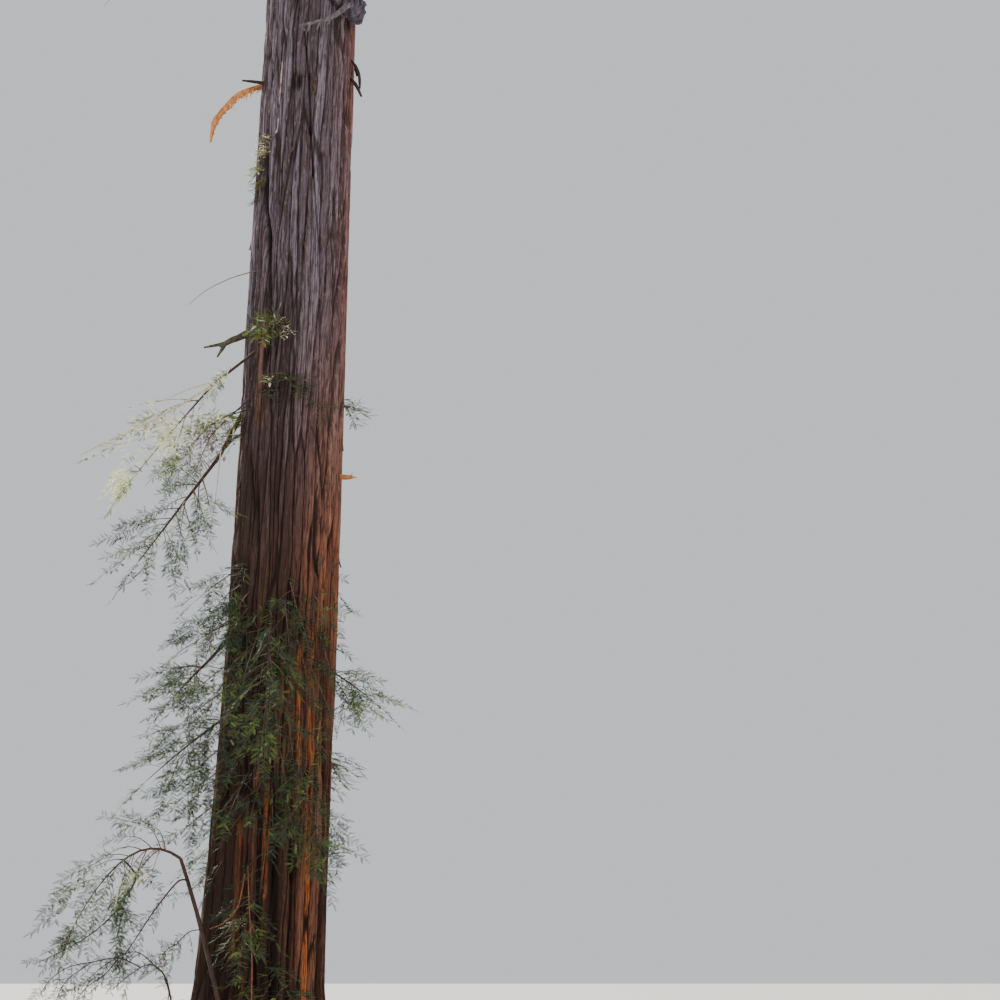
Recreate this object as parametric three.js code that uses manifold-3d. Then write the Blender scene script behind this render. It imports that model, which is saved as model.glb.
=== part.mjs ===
// A coast redwood with its bare lower trunk, its low sprouts, its dead stubs and its narrow crown.
// Units are millimetres and +Z is up. The origin is the middle of the flat cut at ground level, and the
// side that is seen from the front faces -Y. The real tree is about 62 m tall, and every size here is 40/62
// of the real one.
import * as THREE from "three";
import { mergeVertices } from "three/addons/utils/BufferGeometryUtils.js";
import Module from "manifold-3d";

const wasm = await Module();
wasm.setup();

// Driving dimensions of the trunk.
const HEIGHT = 40000; // ground to the tip of the leader
const TRUNK_TOP = 38000; // flat top of the trunk, where the leader goes on
const TAPER_END = 40200; // where the trunk's taper would run out
const STEM_DIAMETER = 1225; // at the ground, without the root flare
const TOP_THINNING = 0.65; // how much slimmer than a plain column the top is
const ROOT_SWELL = 190; // flare of the roots at the ground
const ROOT_REACH = 520; // height at which the flare has all but gone
const LEFT_BUTTRESS = 150; // the large root that runs up the left side
const BUTTRESS_REACH = 2400;
const FLUTE_EVEN = 0.022; // depth of the trunk's long flutes, as a share of its radius
const FLUTE_ROOT = 0.06;
const FLUTE_REACH = 1600;
const SPIRAL = 1.1; // turn of the flutes from ground to tip, in radians
const LEAN = 0.0235; // the trunk leans to the right
const LEAN_EASING = 0.35;
const BOW = 120;
const TRUNK_SIDES = 28;
const TRUNK_RINGS = 18;
const RING_CROWDING = 1.6; // rings lie closer together near the ground
const CUT_HUB = [60, 40]; // middle vertex of the flat cut, off the origin, which lies inside one face

// Driving dimensions of the crown.
const CROWN_BASE = 13000;
const BASE_TILT = 0.26; // the crown's underside rises towards the back
const CROWN_RADIUS = 3500;
const CROWN_TAPER = 0.6;
const CROWN_FILL = 0.9; // how far out the stems reach
const TIER_START = 15400;
const TIER_STEP = 3040;
const TIER_COUNTS = [4, 4, 4, 3, 3, 3, 3, 2]; // masses round the trunk, from the lowest tier up
const TIER_TWIGS = [6, 6, 6, 5, 5, 5, 5, 5]; // twigs of a mass, by tier
const TIERS_ON_BOUGHS = 2; // the lowest tiers hang on bare boughs
const BARE_SHARE = 0.3; // length of a bare bough, as a share of the whole reach
const TIER_TURN = 47; // degrees from one tier to the next
const LOWEST_PITCH = -14; // degrees: the low boughs droop and the high ones rise
const HIGHEST_PITCH = 42;

// Clearances and joints.
const CLEAR = 0.3;
const CELL_GAP = 8; // between two masses
const LIMB_GAP = 14; // between needles and a limb
const UP = new THREE.Vector3(0, 0, 1);
const EAST = new THREE.Vector3(1, 0, 0);
const { degToRad, lerp } = THREE.MathUtils;

const barkRed = new THREE.MeshStandardMaterial({ color: 0x6b4535, roughness: 0.95, metalness: 0 });
const barkGrey = new THREE.MeshStandardMaterial({ color: 0x5f5552, roughness: 0.95, metalness: 0 });
const rawWood = new THREE.MeshStandardMaterial({ color: 0xb3622f, roughness: 0.85, metalness: 0 });
const foliage = new THREE.MeshStandardMaterial({ color: 0x4b6437, roughness: 0.7, metalness: 0 });

// A seeded row of numbers from 0 to 1.
function dice(seed) {
  let state = Math.imul(seed + 1, 2654435761) >>> 0;
  return () => {
    state = (Math.imul(state, 1664525) + 1013904223) >>> 0;
    return state / 4294967296;
  };
}

// A direction from a heading round the trunk and a pitch above the horizon, both in degrees.
function aim(heading, pitch) {
  const turn = degToRad(heading);
  const rise = degToRad(pitch);
  return new THREE.Vector3(
    Math.cos(turn) * Math.cos(rise),
    Math.sin(turn) * Math.cos(rise),
    Math.sin(rise),
  );
}

// Two directions square to a tangent: one that points up as far as it can, and one sideways.
function frameOf(tangent) {
  const level = Math.hypot(tangent.x, tangent.y) > 1e-3;
  const side = level ? tangent.clone().cross(UP).normalize() : EAST.clone();
  const lift = side.clone().cross(tangent).normalize();
  return { side, lift };
}

function trunkCentre(z) {
  const x = LEAN * z * (1 - (LEAN_EASING * z) / HEIGHT);
  return new THREE.Vector3(x, BOW * Math.sin((Math.PI * z) / HEIGHT), z);
}

function trunkRadius(angle, z) {
  const share = z / TAPER_END;
  const column = (STEM_DIAMETER / 2) * Math.sqrt(1 - share) * (1 - TOP_THINNING * share ** 3);
  const swell = ROOT_SWELL * Math.exp(-((z / ROOT_REACH) ** 2));
  const flute = FLUTE_EVEN + FLUTE_ROOT * Math.exp(-z / FLUTE_REACH);
  const turned = angle + (SPIRAL * z) / HEIGHT;
  const wave = 0.6 * Math.cos(5 * turned + 0.4) + 0.4 * Math.cos(8 * turned + 2.1);
  const facingLeft = Math.max(0, -Math.cos(angle)) ** 2;
  const buttress = LEFT_BUTTRESS * Math.exp(-((z / BUTTRESS_REACH) ** 2)) * facingLeft;
  return column * (1 + flute * wave) + swell * (1 + 0.5 * wave) + buttress;
}

function trunkPoint(heading, z, depth = 1) {
  const angle = degToRad(heading);
  return trunkCentre(z).addScaledVector(aim(heading, 0), trunkRadius(angle, z) * depth);
}

// A cylinder whose vertices are moved to place(angle, share along, share outwards).
function shaped(sides, steps, place) {
  const geometry = new THREE.CylinderGeometry(1, 1, 1, sides, steps);
  const position = geometry.getAttribute("position");
  for (let i = 0; i < position.count; i++) {
    const [x, y, z] = [position.getX(i), position.getY(i), position.getZ(i)];
    const moved = place(Math.atan2(x, z), y + 0.5, Math.hypot(x, z));
    position.setXYZ(i, moved.x, moved.y, moved.z);
  }
  return geometry;
}

function trunkGeometry(grow = 0) {
  return shaped(TRUNK_SIDES, TRUNK_RINGS, (angle, share, out) => {
    if (share === 0 && out === 0) return new THREE.Vector3(...CUT_HUB, 0);
    const z = TRUNK_TOP * share ** RING_CROWDING;
    const outwards = new THREE.Vector3(Math.cos(angle), Math.sin(angle), 0);
    return trunkCentre(z).addScaledVector(outwards, (trunkRadius(angle, z) + grow) * out);
  });
}

// A limb along a curve, with its radius given along its length.
function limbGeometry(curve, radiusAt, sides, steps) {
  return shaped(sides, steps, (angle, share, out) => {
    const { side, lift } = frameOf(curve.getTangent(share));
    const radius = radiusAt(share) * out;
    return curve
      .getPoint(share)
      .addScaledVector(lift, radius * Math.cos(angle))
      .addScaledVector(side, radius * Math.sin(angle));
  });
}

function tapering(radius, taper) {
  return (share) => radius * (1 - taper * share);
}

// A line that starts out straight and sags along its length.
function sweep(from, direction, length, sag) {
  const middle = from.clone().addScaledVector(direction, length / 2);
  const end = from.clone().addScaledVector(direction, length).addScaledVector(UP, -sag * length);
  return new THREE.QuadraticBezierCurve3(from, middle, end);
}

function solidOf(geometry) {
  const bare = new THREE.BufferGeometry();
  bare.setAttribute("position", geometry.getAttribute("position"));
  bare.setIndex(geometry.getIndex());
  const merged = mergeVertices(bare, 1e-3);
  return new wasm.Manifold(
    new wasm.Mesh({
      numProp: 3,
      vertProperties: merged.getAttribute("position").array,
      triVerts: new Uint32Array(merged.getIndex().array),
    }),
  );
}

function geometryOf(solid) {
  const mesh = solid.getMesh();
  const geometry = new THREE.BufferGeometry();
  geometry.setAttribute("position", new THREE.BufferAttribute(mesh.vertProperties, 3));
  geometry.setIndex(new THREE.BufferAttribute(mesh.triVerts, 1));
  geometry.computeVertexNormals();
  return geometry;
}

// The largest piece of a solid, so that no loose scrap is kept.
function largestOf(solid) {
  return solid.decompose().reduce((a, b) => (a.volume() > b.volume() ? a : b));
}

// A flat spray of needles: a thin blade with forward teeth on both sides, thickest at its hub. Half its
// outline goes from the first tooth to the last notch, as shares of the spray's length.
const SPRAY_TEETH = [
  [0.34, 0.26],
  [0.32, 0.11],
  [0.67, 0.21],
  [0.62, 0.08],
];
const SPRAY_HUB = 0.28;
const SPRAY_THICKNESS = 0.024;
const SPRAY_RIM = [...SPRAY_TEETH.map(([x, y]) => [x, -y]), [1, 0], ...SPRAY_TEETH.toReversed()];

// The frame of a sprig at a share of its stalk: which way it goes, and the way its flat side faces.
function sprigFrame({ stalk, tilt }, share) {
  const direction = stalk.getTangent(share);
  const normal = frameOf(direction).lift.applyAxisAngle(direction, tilt);
  return { at: stalk.getPoint(share), direction, normal, side: normal.clone().cross(direction) };
}

function sprayPoints(sprig) {
  const { at, direction, normal, side } = sprigFrame(sprig, 1);
  const local = (x, y, z) =>
    at
      .clone()
      .addScaledVector(direction, x * sprig.size)
      .addScaledVector(side, y * sprig.size)
      .addScaledVector(normal, z * sprig.size);
  const rim = SPRAY_RIM.map(([x, y]) => local(x, y, 0));
  const hubs = [SPRAY_THICKNESS / 2, -SPRAY_THICKNESS / 2].map((z) => local(SPRAY_HUB, 0, z));
  return { rim, hubs };
}

// A sprig is a three-sided stalk that widens into a spray at its tip, as one closed solid.
function sprigSolid(sprig) {
  const points = [];
  for (let i = 0; i <= sprig.steps; i++) {
    const { at, normal, side } = sprigFrame(sprig, i / sprig.steps);
    const radius = sprig.radiusAt(i / sprig.steps);
    for (let k = 0; k < 3; k++) {
      const angle = (2 * Math.PI * k) / 3;
      const out = normal.clone().multiplyScalar(Math.cos(angle)).addScaledVector(side, Math.sin(angle));
      points.push(at.clone().addScaledVector(out, radius));
    }
  }
  const index = [0, 1, 2];
  for (let i = 0; i < sprig.steps; i++) {
    for (let k = 0; k < 3; k++) {
      const [a, b] = [3 * i + k, 3 * i + ((k + 1) % 3)];
      index.push(a, b + 3, b, a, a + 3, b + 3);
    }
  }
  const { rim, hubs } = sprayPoints(sprig);
  const [top, left, right] = [0, 1, 2].map((k) => 3 * sprig.steps + k);
  const first = points.length;
  const last = first + rim.length - 1;
  const [above, below] = [last + 1, last + 2];
  points.push(...rim, ...hubs);
  const overPath = [...rim.keys()].map((i) => first + i).concat(left, top, right, first);
  const underPath = [...rim.keys()].map((i) => first + i).concat(left, right, first);
  for (let i = 1; i < overPath.length; i++) index.push(overPath[i - 1], overPath[i], above);
  for (let i = 1; i < underPath.length; i++) index.push(underPath[i], underPath[i - 1], below);
  return solidOf(new THREE.BufferGeometry().setFromPoints(points).setIndex(index));
}

// Limbs so far, as lines of points with a radius, for the needles to keep clear of.
const limbLines = [];

function addLimbLine(name, curve, radiusAt) {
  const points = Array.from({ length: 9 }, (_, i) => curve.getPoint(i / 8));
  const radii = points.map((_, i) => radiusAt(i / 8));
  limbLines.push({ name, points, radii });
}

function clearOfLimbs(points, own) {
  const segment = new THREE.Line3();
  const nearest = new THREE.Vector3();
  return points.every((p) => {
    const out = p.clone().sub(trunkCentre(p.z));
    const inTrunk = p.z < TRUNK_TOP + LIMB_GAP;
    const angle = Math.atan2(out.y, out.x);
    if (inTrunk && Math.hypot(out.x, out.y) < trunkRadius(angle, p.z) + 2 * LIMB_GAP) return false;
    return limbLines.every(({ name, points: line, radii }) => {
      if (name === own) return true;
      return line.slice(1).every((end, i) => {
        segment.set(line[i], end).closestPointToPoint(p, true, nearest);
        return nearest.distanceTo(p) > radii[i] + LIMB_GAP;
      });
    });
  });
}

// Each mass keeps to the points that lie nearer to its own centre than to any other mass's.
function insideCell(points, own, masses) {
  return masses.every((other) => {
    if (other === own) return true;
    const across = other.centre.clone().sub(own.centre);
    const middle = other.centre.clone().add(own.centre).multiplyScalar(0.5);
    const distance = across.length();
    return points.every((p) => middle.clone().sub(p).dot(across) / distance > CELL_GAP);
  });
}

function crownReach(z) {
  const share = (z - CROWN_BASE) / (HEIGHT - CROWN_BASE);
  return CROWN_RADIUS * Math.max(0, 1 - Math.max(0, share)) ** CROWN_TAPER;
}

function insideCrown(points, mass) {
  return points.every((p) => {
    const centre = trunkCentre(p.z);
    const out = Math.hypot(p.x - centre.x, p.y - centre.y);
    const underside = mass.inCrown ? CROWN_BASE + BASE_TILT * p.y : 150;
    return p.z > underside && p.z < HEIGHT && (!mass.inCrown || out < crownReach(p.z) + mass.overhang);
  });
}

// Twigs branch from the stem by turns round it. A spray that would leave the mass's space or touch a limb
// is tried smaller, and is left out where that doesn't fit either.
const TWIG_SHARES = [0.14, 0.88]; // the stretch of the stem that carries twigs
const SIDE_EVERY = 3; // one twig in three carries a side sprig
const SIDE_SHARE = 0.5; // where a side sprig leaves its twig
const SIDE_TURN = 52; // degrees between a twig and its side sprig
const SIDE_STALK = 0.3; // length of its stalk, as a share of its spray
const SPRAY_TRIES = [1, 0.8, 0.6]; // sizes that a spray is tried at
const TILT = 160; // how far the sprays may roll about their stalks, in all, in degrees

function stemSprig(mass) {
  const radiusAt = tapering(mass.radius, 0.75);
  return { stalk: mass.stem, steps: mass.stemSteps, radiusAt, tilt: 0, size: mass.spray };
}

function twigSprig(mass, k, roll) {
  const share = lerp(...TWIG_SHARES, (k + 0.2 + 0.6 * roll()) / mass.twigs);
  const tangent = mass.stem.getTangent(share);
  const { side, lift } = frameOf(tangent);
  const around = degToRad(mass.turn * (k + 0.5) + mass.flutter * (roll() - 0.5));
  const outwards = side.multiplyScalar(Math.cos(around)).addScaledVector(lift, Math.sin(around));
  const spread = degToRad(mass.spread + 16 * (roll() - 0.5));
  const direction = tangent.multiplyScalar(Math.cos(spread)).addScaledVector(outwards, Math.sin(spread));
  const length = mass.twigLength * (1 - 0.4 * share) * (0.85 + 0.3 * roll());
  return {
    stalk: sweep(mass.stem.getPoint(share), direction, length, mass.twigSag),
    steps: 2,
    radiusAt: tapering(0.6 * mass.radius * (1 - 0.75 * share), 0.6),
    tilt: degToRad(TILT * (roll() - 0.5)),
    size: mass.spray * (0.85 + 0.3 * roll()),
  };
}

function sideSprig(twig, turn, roll) {
  const { at, direction, normal } = sprigFrame(twig, SIDE_SHARE);
  const size = 0.85 * twig.size;
  return {
    stalk: sweep(at, direction.applyAxisAngle(normal, degToRad(turn)), SIDE_STALK * size, 0.05),
    steps: 1,
    radiusAt: tapering(0.6 * twig.radiusAt(SIDE_SHARE), 0.3),
    tilt: degToRad(TILT * (roll() - 0.5)),
    size,
  };
}

function massSolid(mass, masses) {
  const roll = dice(mass.seed);
  const fits = (sprig) => {
    const stalk = [0.3, 0.5, 0.75, 1].map((share) => sprig.stalk.getPoint(share));
    const { rim, hubs } = sprayPoints(sprig);
    const points = [...stalk, ...rim, ...rim.map((p) => p.clone().lerp(hubs[0], 0.5))];
    return insideCell(points, mass, masses) && clearOfLimbs(points, mass.name) && insideCrown(points, mass);
  };
  const largestThatFits = (sprig) =>
    SPRAY_TRIES.map((share) => ({ ...sprig, size: share * sprig.size })).find(fits);
  const sprigs = [stemSprig(mass)];
  for (let k = 0; k < mass.twigs; k++) {
    const twig = twigSprig(mass, k, roll);
    const side = sideSprig(twig, k % 2 ? SIDE_TURN : -SIDE_TURN, roll);
    const placed = largestThatFits(twig);
    if (!placed) continue;
    sprigs.push(placed);
    if (k % SIDE_EVERY === 1) sprigs.push(largestThatFits(side));
  }
  return largestOf(wasm.Manifold.union(sprigs.filter(Boolean).map(sprigSolid)).subtract(trunkClear));
}

const trunkClear = solidOf(trunkGeometry(CLEAR + 0.1));
const tree = new THREE.Group();

function add(name, solid, material) {
  const mesh = new THREE.Mesh(geometryOf(solid), material);
  mesh.name = name;
  tree.add(mesh);
}

// Dead limbs and stubs on the bare trunk.
function burlSolid(grow = 0) {
  const centre = trunkPoint(-22, 11850, 0.96);
  const geometry = new THREE.IcosahedronGeometry(1, 1);
  const position = geometry.getAttribute("position");
  const way = new THREE.Vector3();
  for (let i = 0; i < position.count; i++) {
    way.fromBufferAttribute(position, i).normalize();
    const lump = 1 + 0.14 * Math.sin(5 * way.x + 2) * Math.cos(4 * way.z) + 0.1 * Math.sin(7 * way.y);
    const size = new THREE.Vector3(165, 150, 210).multiplyScalar(lump);
    way.multiply(size.addScalar(grow)).add(centre);
    position.setXYZ(i, way.x, way.y, way.z);
  }
  return solidOf(mergeVertices(new THREE.BufferGeometry().setAttribute("position", position), 0.5));
}

function addDeadWood() {
  const burl = burlSolid().subtract(trunkClear);
  add("burl", largestOf(burl), barkGrey);

  const hook = new THREE.CatmullRomCurve3([
    trunkPoint(-30, 11810, 1.08),
    trunkPoint(-44, 11730, 1.2),
    trunkPoint(-63, 11520, 1.26),
    trunkPoint(-82, 11410, 1.28),
    trunkPoint(-95, 11370, 1.27),
  ]);
  const hookRadius = tapering(38, 0.6);
  const hooked = solidOf(limbGeometry(hook, hookRadius, 6, 8));
  add("dead_limb", largestOf(hooked.subtract(burlSolid(CLEAR + 0.2)).subtract(trunkClear)), barkGrey);
  addLimbLine("dead_limb", hook, hookRadius);

  const splinter = new THREE.QuadraticBezierCurve3(
    trunkPoint(190, 10970, 0.8),
    trunkPoint(190, 10620, 1.83),
    trunkPoint(192, 10090, 1.95),
  );
  const splinterRadius = (share) => 10 + 34 * Math.sin(Math.PI * (0.18 + 0.8 * share));
  const broken = solidOf(limbGeometry(splinter, splinterRadius, 6, 7));
  add("broken_limb", largestOf(broken.subtract(trunkClear)), rawWood);

  const stub = sweep(trunkPoint(200, 7990, 0.75), aim(196, -26), 480, 0.06);
  const stubRadius = tapering(52, 0.5);
  const tines = [
    { way: aim(182, -12), length: 240, radius: 24 },
    { way: aim(205, -62), length: 190, radius: 26 },
  ].map(({ way, length, radius }) => {
    const tine = sweep(stub.getPoint(0.86), way, length, 0);
    return solidOf(limbGeometry(tine, tapering(radius, 0.6), 5, 1));
  });
  const forked = wasm.Manifold.union([solidOf(limbGeometry(stub, stubRadius, 6, 3)), ...tines]);
  add("forked_stub", largestOf(forked.subtract(trunkClear)), barkGrey);
  addLimbLine("forked_stub", stub, stubRadius);

  const snag = sweep(trunkPoint(-8, 6330, 0.8), aim(-12, -4), 230, 0.02);
  const snapped = solidOf(limbGeometry(snag, tapering(36, 0.35), 6, 2));
  add("side_stub", largestOf(snapped.subtract(trunkClear)), rawWood);
}

// Low boughs. Each root is a heading round the trunk and a height, and the bough has a heading, a pitch,
// a length, a sag as a share of that length, and a radius at each end.
const LOW_BOUGHS = [
  {
    name: "bough_sunlit", at: [234, 7800], heading: 192, pitch: -41, length: 800, sag: 0.02,
    radii: [20, 13],
  },
  { name: "bough_droop", at: [190, 7330], heading: 195, pitch: -65, length: 880, sag: 0, radii: [32, 22] },
  { name: "bough_left", at: [205, 4700], heading: 200, pitch: -50, length: 560, sag: 0, radii: [24, 16] },
  {
    name: "bough_front", at: [265, 4950], heading: 268, pitch: -35, length: 420, sag: 0.02,
    radii: [24, 16],
  },
  {
    name: "bough_sprout", at: [248, 150], heading: 185, pitch: 77, length: 2620, sag: 0.184,
    radii: [32, 17],
  },
  {
    name: "bough_back_a", at: [96, 6320], heading: 96, pitch: -30, length: 950, sag: 0.06,
    radii: [32, 20],
  },
  {
    name: "bough_back_b", at: [112, 3650], heading: 112, pitch: -32, length: 820, sag: 0.06,
    radii: [30, 19],
  },
];

// Low masses of needles, each on a bough or rooted in the trunk at a heading and a height.
const LOW_MASSES = [
  {
    name: "needles_sunlit", on: "bough_sunlit", heading: 188, pitch: -51, length: 1200,
    sag: 0.05, twigs: 5, twigLength: 480,
  },
  {
    name: "needles_droop", on: "bough_droop", heading: 196, pitch: -56, length: 1450, sag: 0,
    twigs: 6, twigLength: 400, spray: 560,
  },
  {
    name: "needles_left_upper", on: "bough_left", heading: 196, pitch: -46, length: 500,
    sag: 0.06, twigs: 5, twigLength: 230, spray: 500,
  },
  {
    name: "needles_front", on: "bough_front", heading: 275, pitch: -62, length: 1350, sag: 0.05,
    twigs: 6, twigLength: 300,
  },
  {
    name: "needles_sprout", on: "bough_sprout", heading: 187, pitch: 36, length: 1250, sag: 1.1,
    twigs: 6, twigLength: 560, twigSag: 0.4,
  },
  {
    name: "needles_back_a", on: "bough_back_a", heading: 96, pitch: -38, length: 1150, sag: 0.2,
    twigs: 5, twigLength: 480,
  },
  {
    name: "needles_back_b", on: "bough_back_b", heading: 112, pitch: -40, length: 1150,
    sag: 0.2, twigs: 5, twigLength: 480,
  },
  {
    name: "needles_tuft", at: [245, 7840], heading: 252, pitch: 18, length: 280, sag: 0.1,
    twigs: 5, twigLength: 130, spray: 240, radius: 8,
  },
  {
    name: "needles_left_lower", at: [200, 3760], heading: 195, pitch: -36, length: 1050,
    sag: 0.1, twigs: 5, twigLength: 330, spray: 560,
  },
  {
    name: "needles_front_right", at: [295, 3350], heading: 305, pitch: -58, length: 1250,
    sag: 0.05, twigs: 5, twigLength: 280, spray: 540,
  },
  {
    name: "needles_right", at: [350, 4250], heading: 345, pitch: -30, length: 650, sag: 0.1,
    twigs: 4, twigLength: 200, spray: 420, radius: 12,
  },
  {
    name: "needles_base", at: [258, 1980], heading: 265, pitch: -46, length: 760, sag: 0.1,
    twigs: 4, twigLength: 240, spray: 430, radius: 12,
  },
];

const boughTips = new Map();

function addBough(name, root, direction, length, sag, radii) {
  const curve = sweep(root, direction, length, sag);
  const radiusAt = (share) => lerp(radii[0], radii[1], share);
  add(name, largestOf(solidOf(limbGeometry(curve, radiusAt, 5, 3)).subtract(trunkClear)), barkRed);
  addLimbLine(name, curve, radiusAt);
  const tangent = curve.getTangent(1);
  boughTips.set(name, { end: curve.getPoint(1), tangent, radius: radii[1] });
}

function addLowBoughs() {
  for (const { name, at, heading, pitch, length, sag, radii } of LOW_BOUGHS) {
    addBough(name, trunkPoint(at[0], at[1], 0.75), aim(heading, pitch), length, sag, radii);
  }
}

// A mass with its stem, ready to grow. What a spec leaves out takes the values given here.
const MASS_DEFAULTS = {
  turn: 137.5, // degrees from one twig to the next, round the stem
  flutter: 40, // how far a twig may stray from that, in all
  spread: 58, // degrees between a twig and the stem
  twigSag: 0.2,
  spray: 620,
  overhang: 0, // how far sprays may pass the crown's even outline
  stemSteps: 3,
};

// How far the three-sided end of a stalk reaches back past its middle, along the bough it goes on from.
function reachBack(direction, tangent, radius) {
  const { side, lift } = frameOf(direction);
  const corners = [0, 120, 240].map((turn) =>
    lift
      .clone()
      .multiplyScalar(Math.cos(degToRad(turn)))
      .addScaledVector(side, Math.sin(degToRad(turn))),
  );
  return radius * Math.max(...corners.map((corner) => -corner.dot(tangent)));
}

function prepare(spec, seed) {
  const mass = { ...MASS_DEFAULTS, ...spec, seed };
  const tip = boughTips.get(mass.on);
  const direction = mass.heading === undefined ? tip.tangent : aim(mass.heading, mass.pitch);
  mass.radius ??= tip ? tip.radius - 1 : 15;
  const from = tip ? tip.end.clone() : trunkPoint(mass.at[0], mass.at[1], 0.8);
  if (tip) from.addScaledVector(tip.tangent, CLEAR + reachBack(direction, tip.tangent, mass.radius));
  mass.stem = sweep(from, direction, mass.length, mass.sag);
  mass.centre = mass.stem.getPoint(0.6);
  addLimbLine(mass.name, mass.stem, tapering(mass.radius, 0.75));
  return mass;
}

// The crown's masses lie in tiers round the trunk.
function crownSpecs() {
  const specs = [];
  TIER_COUNTS.forEach((count, tier) => {
    for (let k = 0; k < count; k++) {
      const roll = dice(500 + 20 * tier + k);
      const heading = (360 * k) / count + TIER_TURN * tier + 20 * (roll() - 0.5);
      const z = TIER_START + TIER_STEP * tier + 700 * (roll() - 0.5);
      const height = (z - CROWN_BASE) / (HEIGHT - CROWN_BASE);
      const pitch = lerp(LOWEST_PITCH, HIGHEST_PITCH, height) + 8 * (roll() - 0.5);
      const rise = degToRad(pitch);
      const reach = crownReach(z + crownReach(z) * Math.sin(rise));
      const level = CROWN_FILL * reach * (0.9 + 0.2 * roll());
      const girth = trunkRadius(degToRad(heading), z);
      specs.push({ tier, k, heading, z, pitch, length: (level - 0.75 * girth) / Math.cos(rise) });
    }
  });
  return specs;
}

function crownMass({ tier, k, heading, z, pitch, length }) {
  const spray = Math.min(650 + 0.25 * length, 0.6 * length);
  const shared = {
    name: `needles_crown_${tier + 1}_${k + 1}`,
    inCrown: true,
    overhang: 300,
    stemSteps: 2,
    twigs: TIER_TWIGS[tier],
    sag: 0.06,
    spread: 64,
    twigLength: 420 + 0.15 * length,
    spray,
  };
  if (tier >= TIERS_ON_BOUGHS) {
    const radius = 20 + 0.01 * length;
    return { ...shared, at: [heading, z], heading, pitch, length: length - spray, radius };
  }
  const name = `bough_crown_${tier + 1}_${k + 1}`;
  const bare = BARE_SHARE * length;
  addBough(name, trunkPoint(heading, z, 0.75), aim(heading, pitch), bare, 0.02, [58, 40]);
  return { ...shared, on: name, length: length - bare - spray };
}

function leaderSpec() {
  const base = trunkCentre(TRUNK_TOP);
  boughTips.set("trunk", { end: base, tangent: UP.clone(), radius: 48 });
  return {
    name: "needles_leader",
    on: "trunk",
    inCrown: true,
    overhang: 500,
    length: HEIGHT - TRUNK_TOP - CLEAR - 620,
    sag: 0,
    twigs: 6,
    twigSag: 0.05,
    twigLength: 320,
    spray: 620,
  };
}

add("trunk", solidOf(trunkGeometry()), barkRed);
addDeadWood();
addLowBoughs();
const specs = [...LOW_MASSES, ...crownSpecs().map(crownMass), leaderSpec()];
const masses = specs.map((spec, i) => prepare(spec, i + 1));
for (const mass of masses) add(mass.name, massSolid(mass, masses), foliage);

export default tree;
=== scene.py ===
"""A coast redwood: its bark, dead wood, boughs and needles, round the solids of the frame.

The tree grows by the same rules as its solids. Sizes in those rules are in millimetres, and whatever
reaches a mesh is in metres. +Z is up, and the side that is seen from the front faces -Y.
"""

import functools
import math
import random

import bmesh
import bpy
import numpy as np
from bpy.props import FloatProperty, FloatVectorProperty, IntProperty, PointerProperty
from mathutils import Matrix, Vector, noise


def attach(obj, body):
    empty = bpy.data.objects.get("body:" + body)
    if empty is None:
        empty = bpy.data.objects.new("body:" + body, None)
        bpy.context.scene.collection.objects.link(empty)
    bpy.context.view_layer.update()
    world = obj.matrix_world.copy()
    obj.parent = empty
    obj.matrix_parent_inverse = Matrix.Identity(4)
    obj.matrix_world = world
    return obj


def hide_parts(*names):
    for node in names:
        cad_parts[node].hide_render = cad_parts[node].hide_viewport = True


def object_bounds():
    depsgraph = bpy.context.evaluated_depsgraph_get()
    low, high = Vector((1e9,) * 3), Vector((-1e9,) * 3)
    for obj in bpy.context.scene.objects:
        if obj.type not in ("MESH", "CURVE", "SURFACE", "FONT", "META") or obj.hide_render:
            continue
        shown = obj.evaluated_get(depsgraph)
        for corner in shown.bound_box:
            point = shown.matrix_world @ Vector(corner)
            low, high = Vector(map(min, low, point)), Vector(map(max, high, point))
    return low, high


bl_info = {
    "name": "Coast Redwood",
    "version": (1, 0, 0),
    "blender": (4, 5, 0),
    "location": "3D View > Sidebar > Redwood",
    "description": "Bark, dead wood, boughs and needles of a tall coast redwood",
    "category": "Object",
}

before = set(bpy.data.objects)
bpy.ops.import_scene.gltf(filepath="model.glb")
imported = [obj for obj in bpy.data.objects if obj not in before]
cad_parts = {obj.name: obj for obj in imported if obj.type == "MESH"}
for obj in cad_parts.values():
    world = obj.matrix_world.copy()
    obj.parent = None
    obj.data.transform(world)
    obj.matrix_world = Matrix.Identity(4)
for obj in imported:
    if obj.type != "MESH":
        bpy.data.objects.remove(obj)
CAD_BOX = [list(corner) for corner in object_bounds()]

MM = 0.001

# Sizes that the solids share.
HEIGHT = 40000
TRUNK_TOP = 38000
TAPER_END = 40200
STEM_DIAMETER = 1225
TOP_THINNING = 0.65
ROOT_SWELL = 190
ROOT_REACH = 520
LEFT_BUTTRESS = 150
BUTTRESS_REACH = 2400
FLUTE_EVEN = 0.022
FLUTE_ROOT = 0.06
FLUTE_REACH = 1600
SPIRAL = 1.1
LEAN = 0.0235
LEAN_EASING = 0.35
BOW = 120

CROWN_BASE = 13000
BASE_TILT = 0.26
CROWN_RADIUS = 3500
CROWN_TAPER = 0.6
CROWN_FILL = 0.9
TIER_START = 15400
TIER_STEP = 3040
TIER_COUNTS = [4, 4, 4, 3, 3, 3, 3, 2]
TIER_TWIGS = [6, 6, 6, 5, 5, 5, 5, 5]
TIERS_ON_BOUGHS = 2
BARE_SHARE = 0.3
TIER_TURN = 47
LOWEST_PITCH = -14
HIGHEST_PITCH = 42

CLEAR = 0.3
CELL_GAP = 8
LIMB_GAP = 14
UP = Vector((0, 0, 1))
EAST = Vector((1, 0, 0))

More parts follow.
